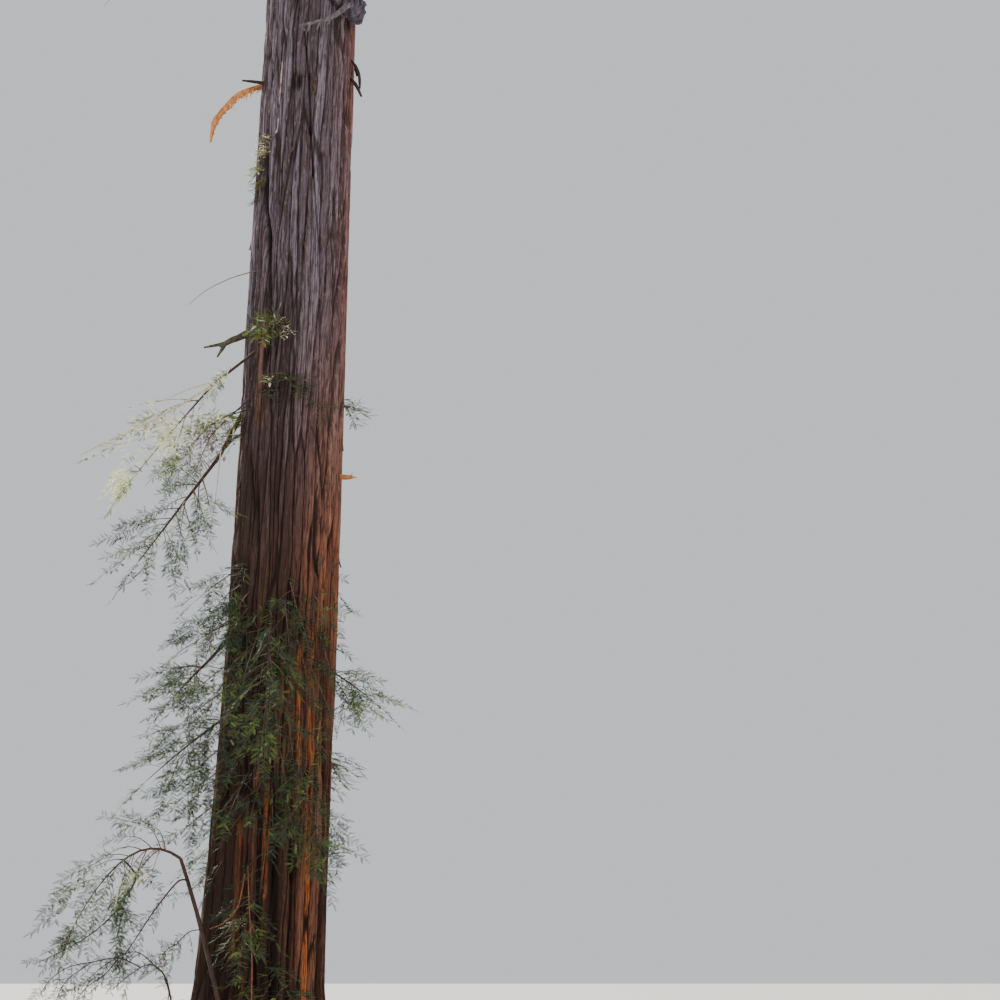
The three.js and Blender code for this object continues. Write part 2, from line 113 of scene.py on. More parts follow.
SPRAY_TEETH = [(0.34, 0.26), (0.32, 0.11), (0.67, 0.21), (0.62, 0.08)]
SPRAY_HUB = 0.28
TWIG_SHARES = (0.14, 0.88)
SIDE_EVERY = 3
SIDE_SHARE = 0.5
SIDE_TURN = 52
SIDE_STALK = 0.3
SPRAY_TRIES = (1, 0.8, 0.6)
TILT = 160


def table(names, *rows):
    """Rows of values under the same names, of which a row may leave out the last ones."""
    return [dict(zip(names.split(), row)) for row in rows]


LOW_BOUGHS = table(
    "name at heading pitch length sag radii",
    ("bough_sunlit", (234, 7800), 192, -41, 800, 0.02, (20, 13)),
    ("bough_droop", (190, 7330), 195, -65, 880, 0, (32, 22)),
    ("bough_left", (205, 4700), 200, -50, 560, 0, (24, 16)),
    ("bough_front", (265, 4950), 268, -35, 420, 0.02, (24, 16)),
    ("bough_sprout", (248, 150), 185, 77, 2620, 0.184, (32, 17)),
    ("bough_back_a", (96, 6320), 96, -30, 950, 0.06, (32, 20)),
    ("bough_back_b", (112, 3650), 112, -32, 820, 0.06, (30, 19)),
)

# Low masses of needles. Light runs from 0, in deep shade, to 1, in full sun.
LOW_MASSES = [
    dict(name="needles_sunlit", on="bough_sunlit", heading=188, pitch=-51, length=1200, sag=0.05,
         twigs=5, twig_length=480, light=0.95, finer=8),
    dict(name="needles_droop", on="bough_droop", heading=196, pitch=-56, length=1450, sag=0,
         twigs=6, twig_length=400, spray=560, light=0.42),
    dict(name="needles_left_upper", on="bough_left", heading=196, pitch=-46, length=500, sag=0.06,
         twigs=5, twig_length=230, spray=500, light=0.4),
    dict(name="needles_front", on="bough_front", heading=275, pitch=-62, length=1350, sag=0.05,
         twigs=6, twig_length=300, light=0.34),
    dict(name="needles_sprout", on="bough_sprout", heading=187, pitch=36, length=1250, sag=1.1,
         twigs=6, twig_length=560, twig_sag=0.4, light=0.45),
    dict(name="needles_back_a", on="bough_back_a", heading=96, pitch=-38, length=1150, sag=0.2,
         twigs=5, twig_length=480, light=0.45),
    dict(name="needles_back_b", on="bough_back_b", heading=112, pitch=-40, length=1150, sag=0.2,
         twigs=5, twig_length=480, light=0.4),
    dict(name="needles_tuft", at=(245, 7840), heading=252, pitch=18, length=280, sag=0.1,
         twigs=5, twig_length=130, spray=240, radius=8, light=0.6),
    dict(name="needles_left_lower", at=(200, 3760), heading=195, pitch=-36, length=1050, sag=0.1,
         twigs=5, twig_length=330, spray=560, light=0.35),
    dict(name="needles_front_right", at=(295, 3350), heading=305, pitch=-58, length=1250, sag=0.05,
         twigs=5, twig_length=280, spray=540, light=0.32),
    dict(name="needles_right", at=(350, 4250), heading=345, pitch=-30, length=650, sag=0.1,
         twigs=4, twig_length=200, spray=420, radius=12, light=0.5),
    dict(name="needles_base", at=(258, 1980), heading=265, pitch=-46, length=760, sag=0.1,
         twigs=4, twig_length=240, spray=430, radius=12, light=0.35),
]

# How much the scene adds to the solids' own boughs and twigs, and into how many pieces it deals the needles.
CROWN_FILLERS = 200
LEADER_TWIGS = 18
LOW_COVER = 32
CROWN_FINER = 10
FINER_SHARE = 0.62
CROWN_PIECES = 5
LOW_PIECES = 4
SPRAYS_A_PIECE = 8000

# The first seed of each use of chance. The crown's is the solids' own.
SEEDS = dict(crown=500, finer=900, filler=2000, filler_twigs=3000, leader=2800, leader_twigs=2900,
             low_filler=6000, low_cover=7000, wisp=500, wisp_twigs=4000, pad=800, thin_twig=900,
             low_growth=11, crown_growth=40)

# How far the tips of sprays stay from the trunk and the ground, and how far they may pass the solids' box,
# the crown's side and its underside, in millimetres.
TIP_GAP = 6
LOWEST_TIP = 60
BOX_SLACK = 120
SIDE_SLACK = 520
BASE_SLACK = 150

# How far the twigs of the scene's own boughs stay from the trunk, how low any twig may hang, and how far the
# scene's boughs may pass the crown's outline, in millimetres.
FILLER_GAP = 10
LOWEST_TWIG = 150
CROWN_OVERHANG = 300

# How deep a bough starts, as a share of the trunk's radius, how much a stem thins towards its tip, and the
# turn from one twig to the next, in degrees.
BOUGH_DEPTH = 0.75
STEM_TAPER = 0.75
GOLDEN_TURN = 137.5

# The height over which the bark's plates grow narrower, and how wide they are set out at the foot.
GRAIN_REACH = 12000
GRAIN_RADIUS = 620

MASS_DEFAULTS = dict(turn=GOLDEN_TURN, flutter=40, spread=58, twig_sag=0.2, spray=620, overhang=0,
                     in_crown=False, light=0.45, finer=17)

# Marks in the bark, each a line from one heading and height to another, with half its width and its depth,
# all in millimetres. A negative depth stands out. Shade above 0 darkens the mark as painted shade, and shade
# below 0 is bare and pale.
BARK_MARKS = table(
    "start end width depth shade",
    ((264.6, 10790), (264.8, 10750), 38, 45, 1.0),
    ((259, 10860), (271, 10850), 16, -14, 0.8),
    ((267.8, 11400), (276.7, 10830), 12, 26, 0.9),
    ((276.7, 10830), (282, 10180), 14, 30, 1.0),
    ((282, 10180), (287.2, 9690), 13, 28, 1.0),
    ((287.2, 9690), (297.4, 8890), 12, 24, 0.9),
    ((240.6, 11010), (239.2, 10490), 8, -6, -1.0),
    ((238.6, 10340), (234.7, 10150), 9, -6, -0.9),
    ((216, 9900), (221, 9500), 60, 55, 0.9),
    ((221, 9500), (233.3, 8920), 44, 60, 0.9),
    ((233.3, 8920), (242, 8000), 36, 55, 0.85),
    ((242, 8000), (240, 7200), 26, 35, 0.7),
    ((281.5, 5040), (283, 4820), 26, 34, 0.8),
    ((279, 2450), (286.8, 0), 58, 66, 1.0),
    ((264, 2700), (266.5, 0), 24, 36, 0.9),
    ((297, 2300), (299, 0), 30, 45, 0.8),
    ((323.9, 4900), (332, 3660), 12, 24, 0.8),
    ((332, 3660), (338.5, 2230), 26, 40, 0.9),
    ((338.5, 2230), (337, 0), 40, 55, 0.9),
    ((350, 3300), (352, 0), 150, 22, 0.85),
    ((243, 3300), (252, 0), 26, 40, 0.7),
    ((229, 6300), (231, 4000), 20, 30, 0.6),
    ((289, 11900), (333, 11660), 90, 30, 0.9),
    ((262, 10540), (256, 10060), 40, -4, -0.16),
    ((80, 9000), (92, 4000), 22, 38, 0.8),
    ((60, 3000), (62, 0), 40, 60, 0.9),
    ((140, 12000), (150, 7600), 18, 34, 0.8),
    ((20, 5200), (12, 0), 30, 45, 0.8),
)

# Strips of fresh orange bark between the furrows, as lines on the trunk with half their width and how far
# their colour shows.
ORANGE_STRIPS = table(
    "start end width glow",
    ((305.5, 5330), (309.7, 4480), 34, 0.5),
    ((309.7, 4480), (315, 3230), 60, 0.95),
    ((315, 3230), (320.9, 0), 66, 1.0),
    ((269, 2900), (271, 1900), 44, 1.0),
    ((271, 1900), (273, 0), 30, 0.7),
    ((258, 3000), (259, 1800), 52, 0.75),
    ((244, 2500), (245, 1300), 70, 0.85),
    ((252, 1500), (254, 300), 50, 0.8),
    ((262, 1500), (263, 0), 34, 0.8),
    ((279, 4400), (284, 2600), 26, 0.5),
    ((294, 4300), (299, 3200), 40, 1.0),
    ((299, 3200), (303, 2400), 30, 0.6),
    ((345, 9200), (350, 3300), 70, 0.6),
    ((325, 7600), (333, 5200), 50, 0.4),
    ((231, 7900), (236, 7000), 80, 0.5),
    ((120, 3600), (126, 0), 50, 0.6),
    ((40, 6400), (36, 900), 46, 0.6),
    ((170, 2800), (176, 0), 50, 0.5),
)

# Thin twigs, as points in metres with the radius at each end in millimetres, and their bark. Those with a
# spray carry sprays of that length in millimetres, in the light given. One that joins starts at the nearest
# limb.
THIN_TWIGS = table(
    "points radii bark spray light joins",
    (((-0.6, -0.42, 7.29), (-0.9, -0.44, 7.19), (-1.19, -0.46, 7.05)), (8, 4), "pale"),
    (((-0.62, -0.42, 7.27), (-0.9, -0.48, 7.06), (-1.21, -0.52, 6.85), (-1.52, -0.55, 6.68),
      (-1.78, -0.56, 6.55), (-2.02, -0.56, 6.42)), (14, 8), "pale"),
    (((-0.57, -0.22, 6.69), (-0.59, -0.24, 6.39), (-0.62, -0.24, 6.02), (-0.67, -0.22, 5.57)), (8, 3),
     "pale"),
    (((-0.22, -0.52, 8.5), (-0.5, -0.5, 8.42), (-0.76, -0.5, 8.28), (-0.94, -0.5, 8.12)), (6, 2), "brown"),
    (((-0.13, -0.7, 2.06), (-0.17, -0.82, 1.75), (-0.28, -0.88, 1.59), (-0.43, -0.92, 1.52)), (8, 5),
     "brown"),
    (((-0.1, -0.7, 2.14), (-0.06, -0.84, 1.75), (-0.01, -0.9, 1.22), (0, -0.93, 0.84), (0, -0.9, 0.03)),
     (5, 8), "brown"),
    (((-0.28, -0.24, 7.14), (-0.57, -0.32, 6.83), (-0.69, -0.34, 6.66), (-0.82, -0.34, 6.33)), (9, 3),
     "dark", 80, -1),
    (((-0.28, -0.2, 7.04), (-0.62, -0.24, 6.9), (-0.8, -0.22, 6.74), (-0.93, -0.2, 6.6)), (8, 3), "dark",
     80, -1),
    (((-0.26, -0.24, 7.08), (-0.52, -0.4, 6.9), (-0.66, -0.42, 6.8), (-0.76, -0.42, 6.78)), (7, 3), "dark",
     90, 0.7),
    (((-0.77, -0.86, 1.98), (-0.94, -0.86, 1.77), (-1.05, -0.86, 1.61), (-1.22, -0.86, 1.34),
      (-1.35, -0.86, 1.17)), (10, 4), "dark", 80, 0.15, True),
    (((-1.18, -0.88, 2.02), (-1.3, -0.88, 1.8), (-1.44, -0.88, 1.61), (-1.66, -0.88, 1.43),
      (-1.95, -0.88, 1.27), (-2.13, -0.88, 1.19)), (10, 3), "dark", 85, 0.15, True),
    (((-0.9, -0.9, 0.02), (-0.76, -0.9, 0.5), (-0.82, -0.9, 0.98), (-0.95, -0.9, 1.16), (-1.1, -0.9, 1.15),
      (-1.37, -0.9, 0.94)), (13, 4), "dark", 80, 0.3),
    (((-0.65, -0.84, 1.49), (-0.77, -0.84, 1.37), (-0.86, -0.86, 1.32), (-0.92, -0.88, 1.2)), (6, 3),
     "dark", 80, 0.2, True),
    (((-0.95, -0.9, 1.16), (-1.15, -0.95, 1.3), (-1.42, -1.0, 1.18), (-1.7, -1.02, 0.92)), (7, 3), "dark",
     80, 0.1),
    (((-0.86, -0.9, 1.05), (-0.8, -0.98, 0.86), (-0.92, -1.05, 0.6), (-1.08, -1.08, 0.4)), (7, 3), "dark",
     80, 0.2),
    (((-1.1, -0.9, 1.15), (-1.31, -0.93, 1.24), (-1.57, -0.95, 1.2), (-1.8, -0.95, 1.15),
      (-1.97, -0.95, 1.03), (-2.06, -0.95, 0.88)), (8, 3), "dark", 75, 0.1),
    (((-1.31, -0.93, 1.24), (-1.44, -0.95, 1.08), (-1.61, -0.95, 0.96), (-1.72, -0.95, 0.8)), (7, 3),
     "dark", 75, 0.15),
    (((-1.57, -0.95, 1.2), (-1.78, -1.0, 1.04), (-1.86, -1.02, 0.9), (-1.9, -1.02, 0.72)), (6, 3), "dark",
     75, 0.1),
)

# Loose strips of bark that stand off the trunk's right edge, as points in metres.
HANGING_STRIPS = [
    ((0.72, -0.03, 11.22), (0.78, -0.03, 11.13), (0.82, -0.02, 11.02), (0.83, -0.02, 10.87)),
    ((0.71, 0, 11.02), (0.78, -0.01, 10.92), (0.81, -0.02, 10.86), (0.85, -0.02, 10.77)),
    ((0.68, 0.12, 11.3), (0.76, 0.14, 11.2), (0.78, 0.15, 11.1)),
]

# Barks of the thin twigs. The pale one is painted sunlight, for the twigs that stand in full sun.
TWIG_BARKS = dict(pale=((150, 130, 108), (234, 216, 192)), brown=((72, 44, 32), (150, 98, 70)),
                  dark=((36, 29, 30), (86, 66, 60)))

# Dense pads of sprays at the tips of the twigs that stand in the sun: a place in metres, a way to hang, a
# size in millimetres and the light.
PADS = table(
    "at heading pitch size light",
    ((-1.0, -0.46, 6.94), 194, -56, 500, 1.2),
    ((-1.06, -0.44, 6.8), 200, -70, 440, 1.1),
    ((-1.46, -0.46, 6.34), 192, -44, 460, 1.2),
    ((-1.5, -0.44, 6.28), 200, -66, 440, 1.1),
    ((-0.48, -0.44, 7.44), 196, -48, 300, 1.0),
    ((-0.56, -0.42, 7.4), 200, -72, 340, 0.85),
    ((-0.8, -0.38, 6.5), 192, -32, 460, 0.6),
    ((-0.76, -0.34, 6.42), 196, -58, 420, 0.5),
    ((-0.66, -0.4, 7.24), 200, -60, 260, 0.9),
    ((-0.98, -0.36, 6.5), 186, -40, 440, 0.6),
    ((-1.0, -0.3, 6.36), 196, -66, 420, 0.5),
    ((-1.02, -0.86, 2.1), 186, -24, 330, 0.85),
    ((-1.2, -0.86, 2.0), 190, -40, 240, 0.95),
    ((-1.66, -0.9, 1.5), 184, -24, 420, 0.15),
    ((-0.72, -0.8, 4.1), 190, -24, 420, 0.5),
    ((-0.8, -0.6, 3.5), 188, -34, 460, 0.3),
    ((-0.7, -0.6, 4.6), 186, -30, 420, 0.25),
)

# Small sprouts on the bark: a heading, a height, how many twigs, their length and that of their sprays in
# millimetres, and the light.
WISPS = table(
    "at twigs length spray light",
    ((248, 7320), 9, 90, 80, 0.95),
    ((256, 7960), 9, 170, 70, 0.75),
    ((262, 7850), 9, 150, 66, 0.95),
    ((240, 8000), 8, 120, 66, 0.6),
    ((262, 7330), 7, 200, 100, 0.35),
    ((276, 7280), 8, 230, 100, 0.3),
    ((290, 7160), 8, 230, 100, 0.3),
    ((304, 7000), 6, 200, 100, 0.3),
    ((252, 7150), 6, 180, 110, 0.15),
    ((208, 6900), 9, 260, 120, 0.6),
    ((204, 6750), 8, 300, 120, 0.65),
    ((226, 5250), 9, 200, 120, 0.25),
    ((222, 4900), 11, 250, 130, 0.25),
    ((232, 4600), 9, 240, 130, 0.2),
    ((222, 10170), 16, 110, 64, 0.9),
    ((217, 10000), 22, 120, 68, 1.0),
    ((210, 9830), 22, 120, 68, 0.85),
    ((216, 9640), 16, 100, 64, 0.6),
    ((206, 9480), 10, 80, 60, 0.3),
    ((247, 1620), 7, 150, 70, 0.95),
    ((252, 1380), 9, 170, 64, 0.7),
    ((250, 1150), 8, 190, 64, 0.35),
    ((285, 1150), 7, 260, 120, 0.35),
    ((300, 950), 9, 300, 130, 0.3),
    ((262, 1000), 7, 260, 120, 0.4),
    ((70, 5200), 10, 260, 130, 0.4),
    ((130, 4400), 10, 280, 130, 0.4),
    ((30, 3300), 10, 280, 130, 0.4),
    ((150, 2300), 10, 280, 130, 0.4),
    ((10, 7200), 8, 220, 120, 0.5),
    ((100, 9400), 8, 200, 110, 0.5),
)

# Short boughs low on the trunk, between the masses: a heading and height, a way to grow, a length in
# millimetres and the light.
LOW_FILLERS = table(
    "at heading pitch length light",
    ((215, 4780), 208, -28, 520, 0.3),
    ((236, 4900), 238, -42, 560, 0.25),
    ((250, 4650), 255, -50, 640, 0.2),
    ((276, 4950), 284, -48, 640, 0.15),
    ((292, 4550), 300, -55, 640, 0.15),
    ((240, 4050), 236, -44, 680, 0.2),
    ((222, 3720), 212, -38, 700, 0.25),
    ((262, 3950), 268, -60, 700, 0.15),
    ((284, 3850), 292, -60, 640, 0.15),
    ((312, 4250), 322, -55, 480, 0.25),
    ((202, 4300), 197, -36, 800, 0.35),
    ((212, 3200), 205, -32, 700, 0.3),
    ((246, 3150), 242, -50, 560, 0.2),
    ((272, 3050), 282, -60, 540, 0.15),
    ((302, 2750), 306, -60, 440, 0.15),
    ((196, 5300), 192, -34, 560, 0.3),
    ((192, 4750), 190, -26, 640, 0.3),
    ((190, 4050), 188, -34, 760, 0.35),
    ((194, 3450), 192, -40, 760, 0.3),
    ((196, 2850), 194, -34, 560, 0.3),
    ((70, 5600), 66, -36, 800, 0.35),
    ((120, 5100), 126, -40, 820, 0.35),
    ((40, 4400), 36, -44, 700, 0.3),
    ((96, 4200), 100, -40, 820, 0.3),
    ((150, 3500), 154, -40, 760, 0.3),
    ((60, 2900), 56, -44, 660, 0.3),
)

# Tints of the needles, by light: deep and shade in shade, mid in even light, fresh in brighter light and pale
# in full sun, all painted light and shade. Brown is for dead needles.
TINTS = ("deep", "shade", "mid", "fresh", "pale", "brown")


def paint(red, green, blue):
    """A colour from its screen values of 0 to 255, in the linear values that materials take."""
    return tuple(c / 255 / 12.92 if c < 10 else ((c / 255 + 0.055) / 1.055) ** 2.4
                 for c in (red, green, blue))


def dice(seed):
    """A seeded row of numbers from 0 to 1, the same as the solids use."""
    state = ((seed + 1) * 2654435761) & 0xFFFFFFFF

    def roll():
        nonlocal state
        state = (state * 1664525 + 1013904223) & 0xFFFFFFFF
        return state / 4294967296

    return roll


def lerp(a, b, share):
    return a + (b - a) * share


def aim(heading, pitch):
    """A direction from a heading round the trunk and a pitch above the horizon, both in degrees."""
    turn, rise = math.radians(heading), math.radians(pitch)
    return Vector((math.cos(turn) * math.cos(rise), math.sin(turn) * math.cos(rise), math.sin(rise)))


def frame_of(tangent):
    """Two directions square to a tangent: one sideways, and one that points up as far as it can."""
    level = math.hypot(tangent.x, tangent.y) > 1e-3
    side = tangent.cross(UP).normalized() if level else EAST.copy()
    return side, side.cross(tangent).normalized()


def trunk_axis(z):
    """The middle of the trunk at a height, as x and y."""
    return LEAN * z * (1 - LEAN_EASING * z / HEIGHT), BOW * np.sin(np.pi * z / HEIGHT)


def trunk_radius(angle, z):
    share = np.clip(z / TAPER_END, 0, 1)
    column = (STEM_DIAMETER / 2) * np.sqrt(1 - share) * (1 - TOP_THINNING * share**3)
    swell = ROOT_SWELL * np.exp(-((z / ROOT_REACH) ** 2))
    flute = FLUTE_EVEN + FLUTE_ROOT * np.exp(-z / FLUTE_REACH)
    turned = angle + SPIRAL * z / HEIGHT
    wave = 0.6 * np.cos(5 * turned + 0.4) + 0.4 * np.cos(8 * turned + 2.1)
    facing_left = np.maximum(0, -np.cos(angle)) ** 2
    buttress = LEFT_BUTTRESS * np.exp(-((z / BUTTRESS_REACH) ** 2)) * facing_left
    return column * (1 + flute * wave) + swell * (1 + 0.5 * wave) + buttress


def trunk_point(heading, z, depth=1.0):
    x, y = trunk_axis(z)
    return Vector((x, y, z)) + aim(heading, 0) * float(trunk_radius(math.radians(heading), z) * depth)


class Sweep:
    """A line that starts out straight and sags along its length."""

    def __init__(self, start, direction, length, sag):
        self.start = start.copy()
        self.middle = start + direction * (length / 2)
        self.end = start + direction * length - UP * (sag * length)

    def point(self, t):
        return self.start * (1 - t) ** 2 + self.middle * (2 * t * (1 - t)) + self.end * t**2

    def tangent(self, t):
        return ((self.middle - self.start) * (1 - t) + (self.end - self.middle) * t).normalized()


class Bend:
    """A smooth line through a few points."""

    def __init__(self, points):
        self.points = [Vector(p) for p in points]

    def point(self, t):
        last = len(self.points) - 1
        i = min(int(t * last), last - 1)
        u = t * last - i
        a, b, c, d = (self.points[min(max(i + k, 0), last)] for k in (-1, 0, 1, 2))
        return 0.5 * (2 * b + (c - a) * u + (2 * a - 5 * b + 4 * c - d) * u**2
                      + (3 * b - a - 3 * c + d) * u**3)

    def tangent(self, t):
        return (self.point(min(t + 0.01, 1)) - self.point(max(t - 0.01, 0))).normalized()


def tapering(radius, taper):
    return lambda share: radius * (1 - taper * share)


def stem_radius(mass):
    return tapering(mass["radius"], STEM_TAPER)


def end_sprig(mass):
    """The spray at the end of a mass's own stem."""
    return dict(stalk=mass["stem"], radius_at=stem_radius(mass), tilt=0, size=mass["spray"])


def off_axis(points):
    """How far points are from the middle of the trunk, and at what angle round it."""
    x, y = trunk_axis(points[:, 2])
    east, north = points[:, 0] - x, points[:, 1] - y
    return np.hypot(east, north), np.arctan2(north, east)


def crown_reach(z):
    share = (z - CROWN_BASE) / (HEIGHT - CROWN_BASE)
    return CROWN_RADIUS * np.maximum(0, 1 - np.maximum(0, share)) ** CROWN_TAPER


def dead_limb_lines():
    """The lines of the dead wood, with their radii."""
    hook = Bend([trunk_point(h, z, d) for h, z, d in (
        (-30, 11810, 1.08), (-44, 11730, 1.2), (-63, 11520, 1.26), (-82, 11410, 1.28), (-95, 11370, 1.27))])
    splinter = Bend([trunk_point(h, z, d) for h, z, d in (
        (190, 10970, 0.9), (190, 10790, 1.45), (190.5, 10530, 1.78), (192, 10090, 1.95))])
    stub = Sweep(trunk_point(200, 7990, BOUGH_DEPTH), aim(196, -26), 480, 0.06)
    snag = Sweep(trunk_point(-8, 6330, 0.8), aim(-12, -4), 230, 0.02)
    return dict(
        dead_limb=(hook, tapering(38, 0.6)),
        broken_limb=(splinter, lambda s: 10 + 34 * math.sin(math.pi * (0.18 + 0.8 * s))),
        forked_stub=(stub, tapering(52, 0.5)),
        side_stub=(snag, tapering(36, 0.35)),
    )


class Redwood:
    """The tree's limbs and masses, grown by the same rules as the solids."""

    def __init__(self):
        self.boughs = []
        self.tips = {}
        self.starts, self.ends, self.radii, self.owners = [], [], [], []
        dead = dead_limb_lines()
        for name in ("dead_limb", "forked_stub"):
            self.add_line(name, *dead[name])
        for b in LOW_BOUGHS:
            start = trunk_point(*b["at"], BOUGH_DEPTH)
            self.add_bough(b["name"], start, aim(b["heading"], b["pitch"]), b["length"], b["sag"], b["radii"])
        specs = [*LOW_MASSES, *(self.crown_mass(spec) for spec in crown_specs()), self.leader_spec()]
        self.masses = [self.prepare(spec, i + 1) for i, spec in enumerate(specs)]
        self.centres = np.array([m["centre"] for m in self.masses], float)
        self.starts, self.ends = np.array(self.starts, float), np.array(self.ends, float)
        self.radii, self.owners = np.array(self.radii, float), np.array(self.owners)

    def add_line(self, name, curve, radius_at):
        points = [curve.point(i / 8) for i in range(9)]
        for i in range(8):
            self.starts.append(points[i])
            self.ends.append(points[i + 1])
            self.radii.append(radius_at(i / 8))
            self.owners.append(name)

    def add_bough(self, name, start, direction, length, sag, radii):
        curve = Sweep(start, direction, length, sag)
        radius_at = functools.partial(lerp, *radii)
        self.boughs.append((name, curve, radius_at))
        self.add_line(name, curve, radius_at)
        self.tips[name] = (curve.point(1), curve.tangent(1), radii[1])

    def crown_mass(self, spec):
        length = spec["length"]
        spray = min(650 + 0.25 * length, 0.6 * length)
        shared = dict(
            name=f"needles_crown_{spec['tier'] + 1}_{spec['k'] + 1}", in_crown=True, overhang=CROWN_OVERHANG,
            twigs=TIER_TWIGS[spec["tier"]], sag=0.06, spread=64, twig_length=420 + 0.15 * length, spray=spray,
            finer=CROWN_FINER,
        )
        if spec["tier"] >= TIERS_ON_BOUGHS:
            return dict(shared, at=(spec["heading"], spec["z"]), heading=spec["heading"],
                        pitch=spec["pitch"], length=length - spray, radius=20 + 0.01 * length)
        name = f"bough_crown_{spec['tier'] + 1}_{spec['k'] + 1}"
        bare = BARE_SHARE * length
        start = trunk_point(spec["heading"], spec["z"], BOUGH_DEPTH)
        self.add_bough(name, start, aim(spec["heading"], spec["pitch"]), bare, 0.02, (58, 40))
        return dict(shared, on=name, length=length - bare - spray)

    def leader_spec(self):
        x, y = trunk_axis(TRUNK_TOP)
        self.tips["trunk"] = (Vector((x, y, TRUNK_TOP)), UP.copy(), 48)
        return dict(name="needles_leader", on="trunk", in_crown=True, overhang=500,
                    length=HEIGHT - TRUNK_TOP - CLEAR - 620, sag=0, twigs=6, twig_sag=0.05,
                    twig_length=320, spray=620, finer=CROWN_FINER)

    def prepare(self, spec, seed):
        mass = dict(MASS_DEFAULTS, **spec, seed=seed)
        tip = self.tips.get(mass.get("on"))
        direction = aim(mass["heading"], mass["pitch"]) if "heading" in mass else tip[1]
        mass.setdefault("radius", tip[2] - 1 if tip else 15)
        start = tip[0] + tip[1] * CLEAR if tip else trunk_point(*mass["at"], 0.8)
        mass["stem"] = Sweep(start, direction, mass["length"], mass["sag"])
        mass["centre"] = mass["stem"].point(0.6)
        self.add_line(mass["name"], mass["stem"], stem_radius(mass))
        return mass

    def nearest_limb(self, point):
        """The nearest place on any bough or stem."""
        point = np.array(point, float)
        along = self.ends - self.starts
        share = np.einsum("sk,sk->s", point - self.starts, along) / np.einsum("sk,sk->s", along, along)
        places = self.starts + np.clip(share, 0, 1)[:, None] * along
        return Vector(places[np.linalg.norm(places - point, axis=1).argmin()])

    def in_cell(self, points, mass):
        """Whether points lie nearer to their own mass's centre than to any other's."""
        own = np.array(mass["centre"], float)
        others = self.centres[np.abs(self.centres - own).max(1) > 1e-6]
        across = others - own
        middle = (others + own) / 2
        away = np.einsum("pmk,mk->pm", middle[None] - points[:, None], across)
        return bool((away / np.linalg.norm(across, axis=1) > CELL_GAP).all())

    def clear_of_limbs(self, points, own):
        keep = self.owners != own
        return bool((self.gap_to_trunk(points) > 2 * LIMB_GAP).all()
                    and (distance(points, self.starts[keep], self.ends[keep])
                         > self.radii[keep] + LIMB_GAP).all())

    @staticmethod
    def gap_to_trunk(points):
        out, angle = off_axis(points)
        gap = out - trunk_radius(angle, points[:, 2])
        return np.where(points[:, 2] > TRUNK_TOP + LIMB_GAP, 1e6, gap)

    @staticmethod
    def in_crown(points, mass):
        """Whether points lie in the crown's outline, or for a low mass only off the ground."""
        above = CROWN_BASE + BASE_TILT * points[:, 1] if mass["in_crown"] else LOWEST_TWIG
        inside = (points[:, 2] > above) & (points[:, 2] < HEIGHT)
        if mass["in_crown"]:
            inside &= off_axis(points)[0] < crown_reach(points[:, 2]) + mass["overhang"]
        return bool(inside.all())

    def fits(self, sprig, mass):
        points = sprig_points(sprig)
        return (self.in_crown(points, mass) and self.in_cell(points, mass)
                and self.clear_of_limbs(points, mass["name"]))

    def largest_that_fits(self, sprig, mass):
        for share in SPRAY_TRIES:
            tried = dict(sprig, size=share * sprig["size"])
            if self.fits(tried, mass):
                return tried
        return None

    def sprigs(self, mass):
        """The mass's own sprigs, each a stalk with one large spray, as its solid has them."""
        roll = dice(mass["seed"])
        placed = [end_sprig(mass)]
        for k in range(mass["twigs"]):
            twig = twig_sprig(mass, k, roll)
            side = side_sprig(twig, SIDE_TURN if k % 2 else -SIDE_TURN, roll)
            found = self.largest_that_fits(twig, mass)
            if found:
                placed.append(found)
                if k % SIDE_EVERY == 1:
                    placed.append(self.largest_that_fits(side, mass))
        return [sprig for sprig in placed if sprig]

    def finer_sprigs(self, mass):
        """More twigs of the same rule between the mass's own, with smaller sprays."""
        roll = dice(SEEDS["finer"] + mass["seed"])
        finer = dict(mass, twigs=mass["finer"], spray=FINER_SHARE * mass["spray"],
                     twig_length=0.8 * mass["twig_length"])
        found = (self.largest_that_fits(twig_sprig(finer, k, roll), mass) for k in range(mass["finer"]))
        return [sprig for sprig in found if sprig]


@functools.cache
def redwood():
    return Redwood()


def crown_specs():
    for tier, count in enumerate(TIER_COUNTS):
        for k in range(count):
            heading, z = 360 * k / count + TIER_TURN * tier, TIER_START + TIER_STEP * tier
            yield dict(crown_spec(heading, z, dice(SEEDS["crown"] + 20 * tier + k)), tier=tier, k=k)


def crown_spec(heading, z, roll):
    """Where a bough of the crown leaves the trunk, and how far it reaches."""
    heading += 20 * (roll() - 0.5)
    z += 700 * (roll() - 0.5)
    height = (z - CROWN_BASE) / (HEIGHT - CROWN_BASE)
    pitch = lerp(LOWEST_PITCH, HIGHEST_PITCH, height) + 8 * (roll() - 0.5)
    rise = math.radians(pitch)
    reach = crown_reach(z + crown_reach(z) * math.sin(rise))
    level = CROWN_FILL * reach * (0.9 + 0.2 * roll())
    girth = trunk_radius(math.radians(heading), z)
    return dict(heading=heading, z=z, pitch=pitch, length=float((level - 0.75 * girth) / math.cos(rise)))


def sprig_frame(sprig, share):
    direction = sprig["stalk"].tangent(share)
    normal = frame_of(direction)[1]
    normal.rotate(Matrix.Rotation(sprig["tilt"], 3, direction))
    return sprig["stalk"].point(share), direction, normal, normal.cross(direction)


